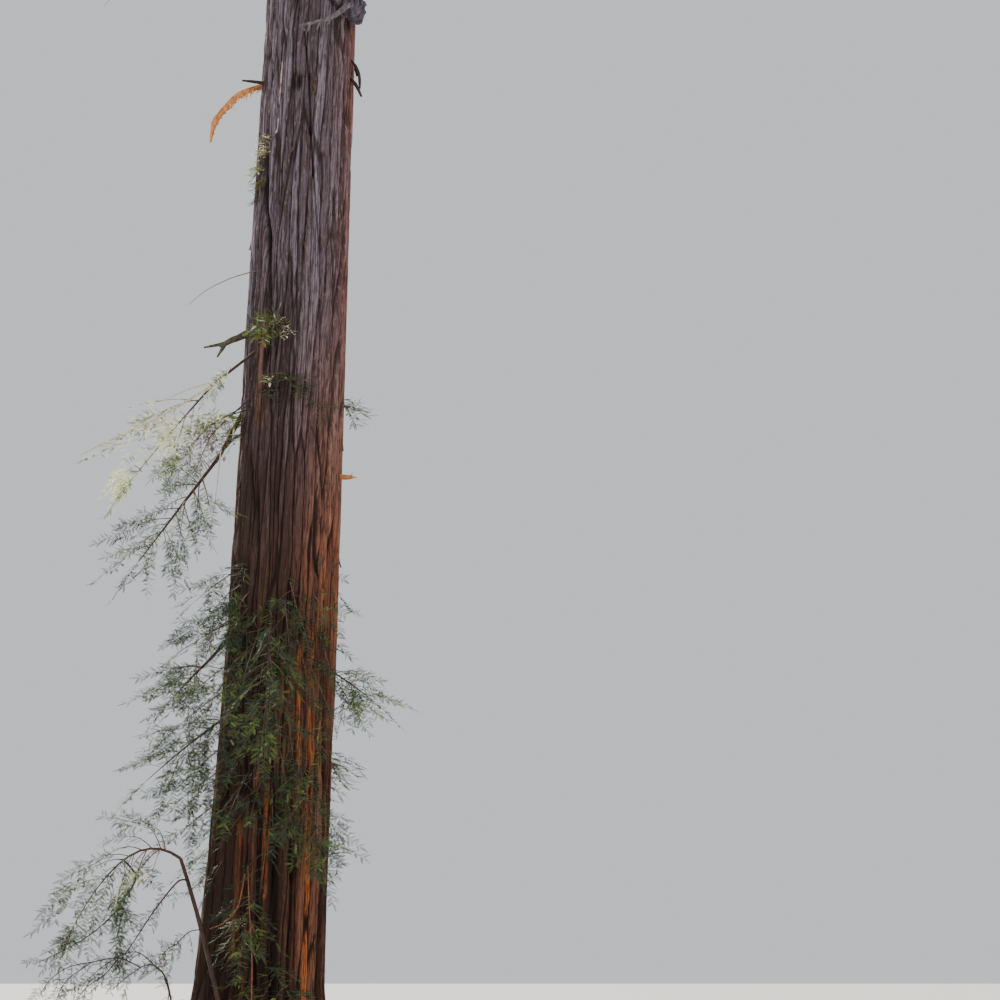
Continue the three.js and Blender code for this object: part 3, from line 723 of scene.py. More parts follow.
def sprig_points(sprig):
    """Points of a sprig's stalk and of its spray's outline."""
    at, direction, normal, side = sprig_frame(sprig, 1)
    size = sprig["size"]
    half = [(x, -y) for x, y in SPRAY_TEETH] + [(1, 0)] + SPRAY_TEETH[::-1]
    rim = [at + direction * (x * size) + side * (y * size) for x, y in half]
    hub = at + direction * (SPRAY_HUB * size)
    stalk = [sprig["stalk"].point(share) for share in (0.3, 0.5, 0.75, 1)]
    return np.array([*stalk, *rim, *((p + hub) / 2 for p in rim)], float)


def twig_sprig(mass, k, roll):
    share = lerp(*TWIG_SHARES, (k + 0.2 + 0.6 * roll()) / mass["twigs"])
    tangent = mass["stem"].tangent(share)
    side, lift = frame_of(tangent)
    around = math.radians(mass["turn"] * (k + 0.5) + mass["flutter"] * (roll() - 0.5))
    outwards = side * math.cos(around) + lift * math.sin(around)
    spread = math.radians(mass["spread"] + 16 * (roll() - 0.5))
    direction = tangent * math.cos(spread) + outwards * math.sin(spread)
    length = mass["twig_length"] * (1 - 0.4 * share) * (0.85 + 0.3 * roll())
    return dict(
        stalk=Sweep(mass["stem"].point(share), direction, length, mass["twig_sag"]),
        radius_at=tapering(0.6 * mass["radius"] * (1 - 0.75 * share), 0.6),
        tilt=math.radians(TILT * (roll() - 0.5)),
        size=mass["spray"] * (0.85 + 0.3 * roll()),
    )


def side_sprig(twig, turn, roll):
    at, direction, normal, _ = sprig_frame(twig, SIDE_SHARE)
    direction.rotate(Matrix.Rotation(math.radians(turn), 3, normal))
    size = 0.85 * twig["size"]
    return dict(
        stalk=Sweep(at, direction, SIDE_STALK * size, 0.05),
        radius_at=tapering(0.6 * twig["radius_at"](SIDE_SHARE), 0.3),
        tilt=math.radians(TILT * (roll() - 0.5)),
        size=size,
    )


def distance(points, starts, ends):
    """Distances from points to line segments, as one row for each point."""
    along = ends - starts
    reach = np.einsum("sk,sk->s", along, along)
    offset = points[:, None] - starts[None]
    share = np.clip(np.einsum("psk,sk->ps", offset, along) / np.maximum(reach, 1e-9), 0, 1)
    return np.linalg.norm(offset - share[..., None] * along[None], axis=2)


class Growth:
    """Twigs as lines and sprays as points, gathered for the node trees.

    Sprays stand a gap apart along a twig, and fine twigs along a fan's axis, all in millimetres."""

    def __init__(self, spray_length=100, spray_gap=100, twiglet_gap=100, seed=0):
        self.spray_length = spray_length
        self.spray_gap = spray_gap
        self.twiglet_gap = twiglet_gap
        self.random = random.Random(seed)
        self.lines, self.sprays = [], []

    def line(self, curve, radius_at, steps):
        points = [curve.point(i / steps) for i in range(steps + 1)]
        self.lines.append((points, [radius_at(i / steps) for i in range(steps + 1)]))

    # A tint by light, as painted light and shade: more light gives a lighter tint, and only light above 0.6
    # reaches pale. Light below -0.5, and a few sprays at random, give brown for dead needles.
    def tint(self, light):
        if light < -0.5 or self.random.random() < 0.015:
            return TINTS.index("brown")
        brightest = 4.4 if light > 0.6 else 3.4
        return int(min(max(light * 4 + self.random.gauss(0.5, 0.75), 0), brightest))

    def spray(self, at, direction, facing, length, light):
        self.sprays.append((at, direction, facing, length, self.tint(light)))

    def along(self, curve, length, side, normal, light):
        """Sprays in two ranks along a twig, and one at its tip."""
        count = max(1, round(length / self.spray_gap))
        for i in range(count):
            share = (i + 0.5) / count
            hand = 1 if i % 2 else -1
            turn = math.radians(38 + 14 * self.random.random())
            way = curve.tangent(share) * math.cos(turn) + side * (hand * math.sin(turn))
            size = self.spray_length * self.random.uniform(0.6, 1.05)
            self.spray(curve.point(share), way, self.facing(normal), size, light)
        size = self.spray_length * self.random.uniform(0.8, 1.15)
        self.spray(curve.point(1), curve.tangent(1), self.facing(normal), size, light)

    def facing(self, normal):
        """A spray's own way up: much like its twig's, but turned a little to the sky."""
        jitter = Vector([self.random.gauss(0, 0.35) for _ in range(3)])
        return (normal + UP * 0.35 + jitter).normalized()

    def fan(self, sprig, light):
        """Fine twigs with sprays of needles, in the place of one large spray of the solids."""
        at, direction, normal, side = sprig_frame(sprig, 1)
        size = sprig["size"]
        light += self.random.gauss(0, 0.09)
        axis = Sweep(at, direction, size - 0.6 * self.spray_length, 0.1)
        girth = max(1.6, 0.55 * sprig["radius_at"](1))
        self.line(axis, tapering(girth, 0.6), 3)
        count = max(4, round(size / self.twiglet_gap))
        for i in range(count):
            share = (i + 0.3 + 0.4 * self.random.random()) / count
            hand = 1 if i % 2 else -1
            width = min(1, 0.35 + share / 0.3) * (1 - share) ** 0.6
            reach = 0.33 * size * width * self.random.uniform(0.7, 1.15) - 0.6 * self.spray_length
            turn = math.radians(44 + 16 * self.random.random())
            lift = normal * self.random.gauss(0, 0.22)
            way = (axis.tangent(share) * math.cos(turn) + side * (hand * math.sin(turn)) + lift).normalized()
            start = axis.point(share)
            if reach < 0.4 * self.spray_length:
                self.spray(start, way, self.facing(normal),
                           self.spray_length * self.random.uniform(0.6, 1), light)
                continue
            twiglet = Sweep(start, way, reach, 0.16)
            self.line(twiglet, tapering(0.5 * girth, 0.5), 2)
            self.along(twiglet, reach, normal.cross(way).normalized(), normal, light)
        self.spray(axis.point(1), axis.tangent(1), self.facing(normal), self.spray_length, light)

    def stalk(self, sprig, light):
        """A twig's own stalk, with a few sprays on its outer half."""
        self.line(sprig["stalk"], sprig["radius_at"], 4)
        _, _, normal, side = sprig_frame(sprig, 0.6)
        length = (sprig["stalk"].end - sprig["stalk"].start).length
        outer = Sweep(sprig["stalk"].point(0.4), sprig["stalk"].tangent(0.7), 0.6 * length, 0.0)
        self.along(outer, 0.6 * length, side, normal, light)

    def branch(self, sprig, light):
        """A twig with its stalk and its fan."""
        self.stalk(sprig, light)
        self.fan(sprig, light)

    def cover(self, tree, mass):
        """A mass's own sprigs, with finer ones between them."""
        own = tree.sprigs(mass)
        self.fan(own[0], mass["light"])
        for sprig in own[1:] + tree.finer_sprigs(mass):
            self.branch(sprig, mass["light"])

    def take(self, other):
        """Adds what another growth has gathered."""
        self.lines += other.lines
        self.sprays += other.sprays

    def keep_inside(self, in_crown):
        """Drops the sprays that would stand in the trunk, or beyond the tree's own outline."""
        tips = np.array([s[0] + s[1] * s[3] for s in self.sprays], float)
        low, high = np.array(CAD_BOX) / MM
        keep = Redwood.gap_to_trunk(tips) > TIP_GAP
        keep &= ((tips > low - BOX_SLACK) & (tips < high + BOX_SLACK)).all(1)
        keep &= tips[:, 2] > LOWEST_TIP
        if in_crown:
            keep &= off_axis(tips)[0] < crown_reach(tips[:, 2]) + SIDE_SLACK
            keep &= tips[:, 2] > CROWN_BASE + BASE_TILT * tips[:, 1] - BASE_SLACK
        self.sprays = [spray for spray, kept in zip(self.sprays, keep) if kept]


class Builder:
    """Adds nodes to a tree. Values go to a node's sockets in order, as links or as constants."""

    def __init__(self, tree):
        self.tree = tree

    def add(self, kind, *values, out=0, named=(), **settings):
        node = self.tree.nodes.new(kind)
        for key, value in settings.items():
            setattr(node, key, value)
        sockets = [s for s in node.inputs if s.enabled]
        by_name = ((self.find(sockets, key), value) for key, value in dict(named).items())
        for socket, value in [*zip(sockets, values), *by_name]:
            if isinstance(value, bpy.types.NodeSocket):
                self.tree.links.new(value, socket)
            elif value is not None:
                socket.default_value = value
        outputs = [s for s in node.outputs if s.enabled]
        return self.find(outputs, out) if isinstance(out, str) else outputs[out] if outputs else node

    @staticmethod
    def find(sockets, name):
        return next(s for s in sockets if s.name == name)

    def math(self, operation, a, b=0.0, c=0.0):
        return self.add("ShaderNodeMath", a, b, c, operation=operation)

    def vector(self, operation, a, b=(0.0, 0.0, 0.0)):
        return self.add("ShaderNodeVectorMath", a, b, operation=operation)

    def scaled(self, a, factor):
        return self.add("ShaderNodeVectorMath", a, named={"Scale": factor}, operation="SCALE")

    def mix(self, factor, below, above):
        """One colour over another. The upper one may be given as red, green and blue."""
        if not isinstance(above, bpy.types.NodeSocket):
            above = (*above, 1)
        return self.add("ShaderNodeMix", factor, below, above, data_type="RGBA")

    def remap(self, value, low, high, to_low=0.0, to_high=1.0, kind="SMOOTHSTEP"):
        return self.add("ShaderNodeMapRange", value, low, high, to_low, to_high, interpolation_type=kind)

    def noise(self, vector, scale, detail=3.0, roughness=0.55, out="Fac"):
        named = {"Vector": vector, "Scale": scale, "Detail": detail, "Roughness": roughness}
        return self.add("ShaderNodeTexNoise", named=named, out=out)

    def read(self, name, kind):
        return self.add("GeometryNodeInputNamedAttribute", name, data_type=kind)


def geometry_tree(name, inputs):
    """An empty geometry node tree with named inputs, its builder, and what those inputs give."""
    tree = bpy.data.node_groups.new(name, "GeometryNodeTree")
    for label, (kind, default) in inputs.items():
        socket = tree.interface.new_socket(name=label, in_out="INPUT", socket_type=kind)
        if default is not None:
            socket.default_value = default
    tree.interface.new_socket(name="Geometry", in_out="OUTPUT", socket_type="NodeSocketGeometry")
    entry = tree.nodes.new("NodeGroupInput")
    return tree, Builder(tree), {s.name: s for s in entry.outputs}


def finish_tree(builder, geometry):
    leave = builder.tree.nodes.new("NodeGroupOutput")
    builder.tree.links.new(geometry, leave.inputs[0])


def mesh_object(name, vertices, edges=(), faces=(), attributes=(), surface=None):
    """A new mesh object, with attributes given as name, kind and values."""
    mesh = bpy.data.meshes.new(name)
    mesh.from_pydata(np.asarray(vertices).tolist(), list(edges), list(faces))
    for label, kind, values in attributes:
        layer = mesh.attributes.new(label, kind, "POINT")
        key = "vector" if kind == "FLOAT_VECTOR" else "value"
        layer.data.foreach_set(key, np.asarray(values, np.int32 if kind == "INT" else np.float32).ravel())
    if surface:
        mesh.materials.append(surface)
    return shown(name, mesh)


def shown(name, content):
    """A new object in the scene."""
    made = bpy.data.objects.new(name, content)
    bpy.context.scene.collection.objects.link(made)
    return made


def grown(source, tree, settings):
    """Runs a node tree on a mesh, and leaves a plain mesh in its place."""
    modifier = source.modifiers.new(tree.name, "NODES")
    modifier.node_group = tree
    for socket in tree.interface.items_tree:
        if socket.item_type == "SOCKET" and socket.in_out == "INPUT" and socket.name in settings:
            modifier[socket.identifier] = settings[socket.name]
    evaluated = source.evaluated_get(bpy.context.evaluated_depsgraph_get())
    mesh = bpy.data.meshes.new_from_object(evaluated)
    source.modifiers.remove(modifier)
    plain = source.data
    source.data = mesh
    bpy.data.meshes.remove(plain)
    return source


def settle(piece, nodes=()):
    """Puts a finished piece on the tree's one body, in the place of its solids."""
    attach(piece, "root")
    if nodes:
        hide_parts(*nodes)
    return piece


def material(name, roughness, specular=0.3):
    """A new material, its builder and its Principled shader."""
    made = bpy.data.materials.new(name)
    made.use_nodes = True
    shader = made.node_tree.nodes["Principled BSDF"]
    shader.inputs["Roughness"].default_value = roughness
    shader.inputs["Specular IOR Level"].default_value = specular
    return made, Builder(made.node_tree), shader


def shader_attribute(builder, name, out="Fac"):
    return builder.add("ShaderNodeAttribute", attribute_name=name, out=out)


def colour_steps(builder, value, steps):
    """A colour ramp from pairs of place and colour."""
    node = builder.tree.nodes.new("ShaderNodeValToRGB")
    ramp = node.color_ramp
    while len(ramp.elements) < len(steps):
        ramp.elements.new(0.5)
    for element, (place, colour) in zip(ramp.elements, steps):
        element.position = place
        element.color = (*colour, 1)
    builder.tree.links.new(value, node.inputs[0])
    return node.outputs[0]


# Bark.


def bark_pattern(b, grain, plate_width, cord_width, stretch):
    """Long plates with narrow furrows between them, and the cords that run along the plates."""
    waver = b.noise(b.vector("MULTIPLY", grain, (1.5, 1.5, 0.5)), 1.0, out="Color")
    bent = b.vector("ADD", grain, b.scaled(b.vector("SUBTRACT", waver, (0.5, 0.5, 0.5)), 0.12))

    def cells(width):
        size = b.add("ShaderNodeCombineXYZ", width, width, b.math("MULTIPLY", width, stretch))
        return b.vector("DIVIDE", bent, size)

    plates = {"Vector": cells(plate_width), "Scale": 1.0, "Randomness": 1.0}
    edge = b.add("ShaderNodeTexVoronoi", named=plates, feature="DISTANCE_TO_EDGE", voronoi_dimensions="3D")
    chance = b.add("ShaderNodeTexVoronoi", named=plates, feature="F1", voronoi_dimensions="3D", out="Color")
    wander = b.noise(cells(cord_width), 1.0, 2.5, 0.5)
    plate = b.remap(edge, 0.0, 0.11)
    cord = b.remap(b.math("ABSOLUTE", b.math("SUBTRACT", wander, 0.5)), 0.0, 0.075)
    return plate, cord, b.add("ShaderNodeSeparateXYZ", chance), bent


def bark_relief_tree():
    """Pushes the bark's plates, cords and fibres out along the trunk's own radius."""
    tree, b, given = geometry_tree("Bark Relief", {
        "Geometry": ("NodeSocketGeometry", None),
        "Plate Width": ("NodeSocketFloat", 0.1),
        "Cord Width": ("NodeSocketFloat", 0.036),
        "Stretch": ("NodeSocketFloat", 26.0),
        "Furrow Depth": ("NodeSocketFloat", 0.03),
        "Cord Depth": ("NodeSocketFloat", 0.012),
        "Material": ("NodeSocketMaterial", None),
    })
    grain = b.read("grain", "FLOAT_VECTOR")
    plate, cord, strip, bent = bark_pattern(
        b, grain, given["Plate Width"], given["Cord Width"], given["Stretch"])
    fibre = b.noise(b.vector("MULTIPLY", bent, (60.0, 60.0, 5.0)), 1.0, 4.0)
    height = b.math("SUBTRACT", b.math("MULTIPLY_ADD", strip, 0.45, plate), 1.2)
    relief = b.math("MULTIPLY", height, given["Furrow Depth"])
    cords = b.math("SUBTRACT", b.math("MULTIPLY_ADD", fibre, 0.5, cord), 1.0)
    cords = b.math("MULTIPLY", cords, given["Cord Depth"])
    relief = b.math("MULTIPLY", b.math("ADD", relief, cords), b.read("bite", "FLOAT"))
    relief = b.math("SUBTRACT", relief, b.read("mark", "FLOAT"))
    moved = b.add("GeometryNodeSetPosition", given["Geometry"],
                  named={"Offset": b.scaled(b.read("outward", "FLOAT_VECTOR"), relief)})
    moved = b.add("GeometryNodeRealizeInstances", moved)
    level = b.math("ABSOLUTE", b.add("ShaderNodeSeparateXYZ", b.add("GeometryNodeInputNormal"), out="Z"))
    upright = b.add("FunctionNodeCompare", level, 0.75, data_type="FLOAT", operation="LESS_THAN")
    moved = b.add("GeometryNodeSetShadeSmooth", moved, None, upright)
    finish_tree(b, b.add("GeometryNodeSetMaterial", moved, named={"Material": given["Material"]}))
    return tree


def on_line(heading, z, radius, start, end):
    """How far points on the trunk are from a line on it, in millimetres."""
    (h0, z0), (h1, z1) = start, end
    share = np.clip((z - z0) / (z1 - z0), 0, 1)
    off = (heading - lerp(h0, h1, share) + 180) % 360 - 180
    beyond = np.maximum(0, np.maximum(z - max(z0, z1), min(z0, z1) - z))
    return np.hypot(np.radians(off) * radius, 0.35 * beyond)


def fading(z, top, stretch):
    """1 low on the trunk, and down to 0 over a stretch that ends at the top given."""
    return np.clip((top - z) / stretch, 0, 1)


def facing(angle, heading, strength=1):
    """1 where the bark faces a heading, and 0 where it faces away from it."""
    return np.clip(strength * np.cos(angle - np.radians(heading)), 0, 1)


def trunk_surface(name, low, high, columns, rows):
    """A stretch of the trunk between two heights, with what its bark needs to know at each point.

    Its top is tucked in, so that the next stretch closes over it."""
    levels = np.append(np.linspace(low, high, rows), high + 10)
    z = np.repeat(levels, columns)
    angle = np.tile(np.linspace(0, 2 * np.pi, columns, endpoint=False), rows + 1)
    radius = trunk_radius(angle, z) * np.where(z > high, 0.75, 1)
    x, y = trunk_axis(z)
    heading = np.degrees(angle)
    wavy = 9 * np.sin(z / 170 + 2 * angle) + 6 * np.sin(z / 61)
    mark, shade, glow = (np.zeros(len(z)) for _ in range(3))
    for m in BARK_MARKS:
        off = on_line(heading, z, radius, m["start"], m["end"]) + 0.12 * wavy
        near = np.exp(-((off / m["width"]) ** 2))
        mark += m["depth"] * near
        shade += m["shade"] * near
    for m in ORANGE_STRIPS:
        off = on_line(heading, z, radius, m["start"], m["end"]) + 0.3 * wavy
        glow = np.maximum(glow, m["glow"] * np.exp(-((off / m["width"]) ** 4)))
    spread = GRAIN_RADIUS * (1 - 0.24 * np.clip(z / GRAIN_REACH, 0, 1))
    turned = angle - 0.12 * z / GRAIN_REACH
    grain = np.stack([spread * np.cos(turned), spread * np.sin(turned), z], 1) * MM
    # Painted warm light: orange on the right side below about 8.6 m, and along the right edge all the way up.
    # The lowest stretch of the trunk is orange all round.
    glow = np.maximum(glow, 0.62 * facing(angle, 335) ** 3 * fading(z, 8600, 3000))
    glow = np.maximum(glow, 0.5 * facing(angle, 352) ** 8)
    glow = np.maximum(glow, 0.3 * fading(z, 3600, 3600))
    # Painted shade on the front-left side, strongest low down, and less where the orange is strongest.
    left_side_shade = facing(angle, 230) ** 3 * fading(z, 8600, 2400) * 0.75
    left_side_shade = np.maximum(left_side_shade, 0.92 * facing(angle, 225, 1.6) * fading(z, 4400, 2400))
    left_side_shade *= 1 - 0.8 * np.clip(glow - 0.6, 0, 0.4) / 0.4
    points = np.stack([x + radius * np.cos(angle), y + radius * np.sin(angle), z], 1) * MM
    middles = [trunk_axis(low) + (low,), trunk_axis(high) + (levels[-1],)]
    points = np.vstack([points, np.array(middles, float) * MM])
    faces = []
    for r in range(rows):
        a = r * columns + np.arange(columns)
        c = r * columns + (np.arange(columns) + 1) % columns
        faces.extend(zip(a.tolist(), c.tolist(), (c + columns).tolist(), (a + columns).tolist()))
    bottom, top = len(z), len(z) + 1
    for k in range(columns):
        after = (k + 1) % columns
        faces.append((bottom, after, k))
        faces.append((top, rows * columns + k, rows * columns + after))

    def padded(label, kind, values):
        """An attribute, with zeros for the two points in the middle of the ends."""
        return label, kind, np.concatenate([values, np.zeros((2,) + values.shape[1:])])

    piece = mesh_object(name, points, faces=faces, attributes=[
        padded("grain", "FLOAT_VECTOR", grain),
        padded("outward", "FLOAT_VECTOR", np.stack([np.cos(angle), np.sin(angle), 0 * z], 1)),
        padded("bite", "FLOAT", np.clip(0.45 + radius / 1100, 0, 1)),
        padded("mark", "FLOAT", mark * MM),
        padded("shade", "FLOAT", np.clip(shade, -1, 1)),
        padded("glow", "FLOAT", glow),
        padded("warmth", "FLOAT", fading(z, 8200, 3200)),
        padded("left_side_shade", "FLOAT", left_side_shade),
    ])
    pairs = np.empty(2 * len(piece.data.edges), np.int32)
    piece.data.edges.foreach_get("vertices", pairs)
    ring = pairs.reshape(-1, 2) // columns
    rim = (ring[:, 0] == ring[:, 1]) & np.isin(ring[:, 0], (0, rows - 1, rows))
    piece.data.attributes.new("sharp_edge", "BOOLEAN", "EDGE").data.foreach_set("value", rim)
    return piece


def trunk_bark(sizes):
    """Fibrous bark: brown with orange strips low down, and weathered to a purplish grey higher up.

    The purple is partly painted skylight. Painted warm light turns the right side orange, and painted shade
    darkens the front-left side, the dark marks and, in part, the furrows.
    """
    made, b, shader = material("redwood_bark", 0.9, 0.15)
    grain = shader_attribute(b, "grain", "Vector")
    shade, warmth, glow, left_side_shade = (shader_attribute(b, name) for name in ("shade", "warmth", "glow", "left_side_shade"))
    plate, cord, strip, bent = bark_pattern(b, grain, sizes.plate_width, sizes.cord_width, sizes.stretch)
    fibre = b.noise(b.vector("MULTIPLY", bent, (85.0, 85.0, 4.0)), 1.0, 5.0, 0.7)
    flake = b.noise(b.vector("MULTIPLY", bent, (42.0, 42.0, 11.0)), 1.0, 4.0, 0.6)
    band = b.noise(b.vector("MULTIPLY", bent, (7.0, 7.0, 0.35)), 1.0, 3.0)
    pick = b.math("MULTIPLY_ADD", strip, 0.45, b.math("MULTIPLY", band, 0.55))
    # Bark colours: weathered grey higher up, its purplish tint partly painted skylight; brown lower down; and
    # red-brown for the orange bark and the painted warm light.
    weathered, brown, red = (
        colour_steps(b, pick, [(place, paint(*colour)) for place, colour in zip((0.2, 0.42, 0.6, 0.8), row)])
        for row in (
            ((74, 62, 68), (108, 94, 104), (132, 121, 134), (98, 79, 81)),
            ((64, 46, 38), (94, 67, 55), (118, 86, 71), (80, 57, 49)),
            ((114, 60, 38), (152, 86, 54), (172, 106, 72), (128, 68, 42)),
        )
    )
    look = b.mix(warmth, weathered, brown)
    # Red-brown where the bark is orange and where warm light is painted on the right side; full orange only
    # on the strongest strips.
    look = b.mix(b.math("MULTIPLY", glow, b.remap(band, 0.3, 0.6, 0.5, 1.0)), look, red)
    look = b.mix(b.remap(glow, 0.75, 1.0, 0.0, 0.8), look, sizes.orange)
    # Painted shade on the front-left side.
    look = b.mix(left_side_shade, look, paint(42, 33, 26))
    look = b.mix(b.remap(fibre, 0.38, 0.6, 0.74, 0.0), look, sizes.furrow)
    bleached = b.math("MULTIPLY", b.remap(warmth, 0.0, 0.7, 0.35, 0.06), b.remap(flake, 0.56, 0.7))
    look = b.mix(bleached, look, paint(160, 142, 140))
    look = b.mix(b.remap(flake, 0.3, 0.42, 0.6, 0.0), look, sizes.furrow)
    # Where the cords and the plates' edges sink: the furrow colour and near black, partly the bark's own
    # darker furrows and partly painted shade in the grooves, a little less higher up.
    calm = b.remap(warmth, 0.0, 1.0, 0.78, 1.0)
    look = b.mix(b.math("MULTIPLY", calm, b.remap(cord, 0.0, 0.5, 0.82, 0.0)), look, sizes.furrow)
    look = b.mix(b.math("MULTIPLY", calm, b.remap(plate, 0.0, 0.6, 0.96, 0.0)), look, paint(36, 25, 22))
    # Painted shade on the dark marks: the knot hole, the hollows and the crevices.
    look = b.mix(b.remap(shade, 0.15, 1.0, 0.0, 0.88), look, paint(24, 16, 13))
    bare = b.math("MULTIPLY", b.remap(shade, -0.2, -0.7, 0.0, 1.0), b.remap(flake, 0.42, 0.52))
    look = b.mix(bare, look, paint(214, 180, 162))
    b.tree.links.new(look, shader.inputs["Base Color"])
    height = b.math("MULTIPLY_ADD", cord, 0.35, b.math("MULTIPLY", flake, 0.3))
    height = b.math("MULTIPLY_ADD", fibre, 0.5, height)
    bump = b.add("ShaderNodeBump", named={"Strength": 0.8, "Distance": 0.012, "Height": height})
    b.tree.links.new(bump, shader.inputs["Normal"])
    return made


# Limbs and twigs.


def limb_tree():
    """Round limbs along lines, as thick as the lines say, with a little unevenness."""
    tree, b, given = geometry_tree("Limbs Along Lines", {
        "Geometry": ("NodeSocketGeometry", None),
        "Sides": ("NodeSocketInt", 6),
        "Unevenness": ("NodeSocketFloat", 0.1),
        "Material": ("NodeSocketMaterial", None),
    })
    curve = b.add("GeometryNodeMeshToCurve", given["Geometry"])
    girth = b.read("girth", "FLOAT")
    curve = b.add("GeometryNodeSetCurveRadius", curve, named={"Radius": girth})
    circle = b.add("GeometryNodeCurvePrimitiveCircle", named={"Resolution": given["Sides"], "Radius": 1.0},
                   mode="RADIUS")
    tube = b.add("GeometryNodeCurveToMesh", curve, circle, named={"Scale": girth, "Fill Caps": True})
    lumps = b.math("SUBTRACT", b.noise(b.scaled(b.add("GeometryNodeInputPosition"), 16.0), 1.0, 2.0), 0.5)
    push = b.math("MULTIPLY", b.math("MULTIPLY", lumps, given["Unevenness"]), girth)
    tube = b.add("GeometryNodeSetPosition", tube,
                 named={"Offset": b.scaled(b.add("GeometryNodeInputNormal"), push)})
    tube = b.add("GeometryNodeRealizeInstances", tube)
    tube = b.add("GeometryNodeSetShadeSmooth", tube)
    finish_tree(b, b.add("GeometryNodeSetMaterial", tube, named={"Material": given["Material"]}))
    return tree


def limbs_object(name, lines, sides, unevenness, surface):
    """One piece of limbs, from lines of points with a radius at each, in millimetres."""
    vertices, edges, girth = [], [], []
    for points, radii in lines:
        first = len(vertices)
        vertices.extend([p * MM for p in points])
        girth.extend([r * MM for r in radii])
        edges.extend((first + i, first + i + 1) for i in range(len(points) - 1))
    source = mesh_object(name, vertices, edges=edges, attributes=[("girth", "FLOAT", girth)])
    settings = {"Sides": sides, "Unevenness": unevenness, "Material": surface}
    return grown(source, limb_tree(), settings)


def wood_material(name, dark, light, scale):
    """Wood or thin bark with long streaks, between two colours given in screen values."""
    made, b, shader = material(name, 0.85)
    place = b.add("ShaderNodeTexCoord", out="Object")
    streak = b.noise(b.vector("MULTIPLY", place, (scale, scale, scale * 0.3)), 1.0, 5.0, 0.65)
    colour = colour_steps(b, streak, [(0.3, paint(*dark)), (0.68, paint(*light))])
    b.tree.links.new(colour, shader.inputs["Base Color"])
    bump = b.add("ShaderNodeBump", named={"Strength": 0.6, "Distance": 0.004, "Height": streak})
    b.tree.links.new(bump, shader.inputs["Normal"])
    return made


# Needles.


SPRAY_INPUTS = {
    "Pairs": ("NodeSocketInt", 10),
    "Needle Length": ("NodeSocketFloat", 0.2),
    "Needle Width": ("NodeSocketFloat", 0.045),
    "Fold": ("NodeSocketFloat", 0.35),
}


def spray_tree(corners):
    """A flat spray, one metre long: needles in two ranks along a thin stalk."""
    tree, b, given = geometry_tree("Spray of Needles", SPRAY_INPUTS)
    line = b.add("GeometryNodeMeshLine", named={
        "Count": given["Pairs"], "Start Location": (0.05, 0.0, 0.0), "Offset": (0.94, 0.0, 0.0)},
        mode="END_POINTS", count_mode="TOTAL")
    along = b.add("ShaderNodeSeparateXYZ", b.add("GeometryNodeInputPosition"))
    swell = b.math("MULTIPLY", b.math("POWER", b.math("SUBTRACT", 1.0, along), 0.45), 1.15)
    swell = b.math("MULTIPLY", swell, b.remap(along, 0.0, 0.2, 0.6, 1.0, "LINEAR"))
    size = b.math("MAXIMUM", b.math("MULTIPLY", swell, given["Needle Length"]), 0.05)
    blade = b.add("GeometryNodeMeshCircle", named={"Vertices": corners, "Radius": 0.5}, fill_type="NGON")
    reach = 0.5 if corners == 4 else 0.25
    blade = b.add("GeometryNodeTransform", blade, named={"Translation": (reach, 0.0, 0.0)})
    stretch = b.add("ShaderNodeCombineXYZ", size, given["Needle Width"], 1.0)
    parts = []
    for hand in (1, -1):
        fold = b.math("MULTIPLY", given["Fold"], float(hand))
        turn = b.add("ShaderNodeCombineXYZ", fold, 0.0, hand * 0.92)
        parts.append(b.add("GeometryNodeInstanceOnPoints", line, named={
            "Instance": blade, "Rotation": turn, "Scale": stretch}))
    thin = b.add("ShaderNodeCombineXYZ", 1.0, b.math("MULTIPLY", given["Needle Width"], 0.5), 1.0)
    parts.append(b.add("GeometryNodeTransform", blade, named={"Scale": thin}))
    join = tree.nodes.new("GeometryNodeJoinGeometry")
    for part in parts:
        tree.links.new(part, join.inputs[0])
    finish_tree(b, b.add("GeometryNodeRealizeInstances", join.outputs[0]))
    return tree


def foliage_tree(corners):
    """Sprays of needles on points, each turned, sized and tinted as its point says."""
    tree, b, given = geometry_tree("Sprays On Points", {
        "Geometry": ("NodeSocketGeometry", None),
        **SPRAY_INPUTS,
        **{f"Material {tint}": ("NodeSocketMaterial", None) for tint in TINTS},
    })
    spray = tree.nodes.new("GeometryNodeGroup")
    spray.node_tree = spray_tree(corners)
    for key in SPRAY_INPUTS:
        tree.links.new(given[key], spray.inputs[key])
    turn = b.add("FunctionNodeAxesToRotation", b.read("facing", "FLOAT_VECTOR"),
                 b.read("toward", "FLOAT_VECTOR"), primary_axis="Z", secondary_axis="X")
    points = b.add("GeometryNodeMeshToPoints", given["Geometry"])
    sprays = b.add("GeometryNodeInstanceOnPoints", points, named={
        "Instance": spray.outputs[0], "Rotation": turn, "Scale": b.read("size", "FLOAT")})
    made = b.add("GeometryNodeRealizeInstances", sprays)
    for index, tint in enumerate(TINTS):
        chosen = b.add("FunctionNodeCompare", b.read("tint", "INT"), index,
                       data_type="INT", operation="EQUAL")
        made = b.add("GeometryNodeSetMaterial", made, chosen, given[f"Material {tint}"])
    finish_tree(b, made)
    return tree


def needle_materials(sizes):
    """One material for each tint of the needles, from shade to full sun, and one for dead ones."""
    made = {}
    for tint in TINTS:
        surface, _, shader = material(f"needles_{tint}", 0.7, 0.12)
        shader.inputs["Base Color"].default_value = (*getattr(sizes, tint), 1)
        made[tint] = surface
    return made


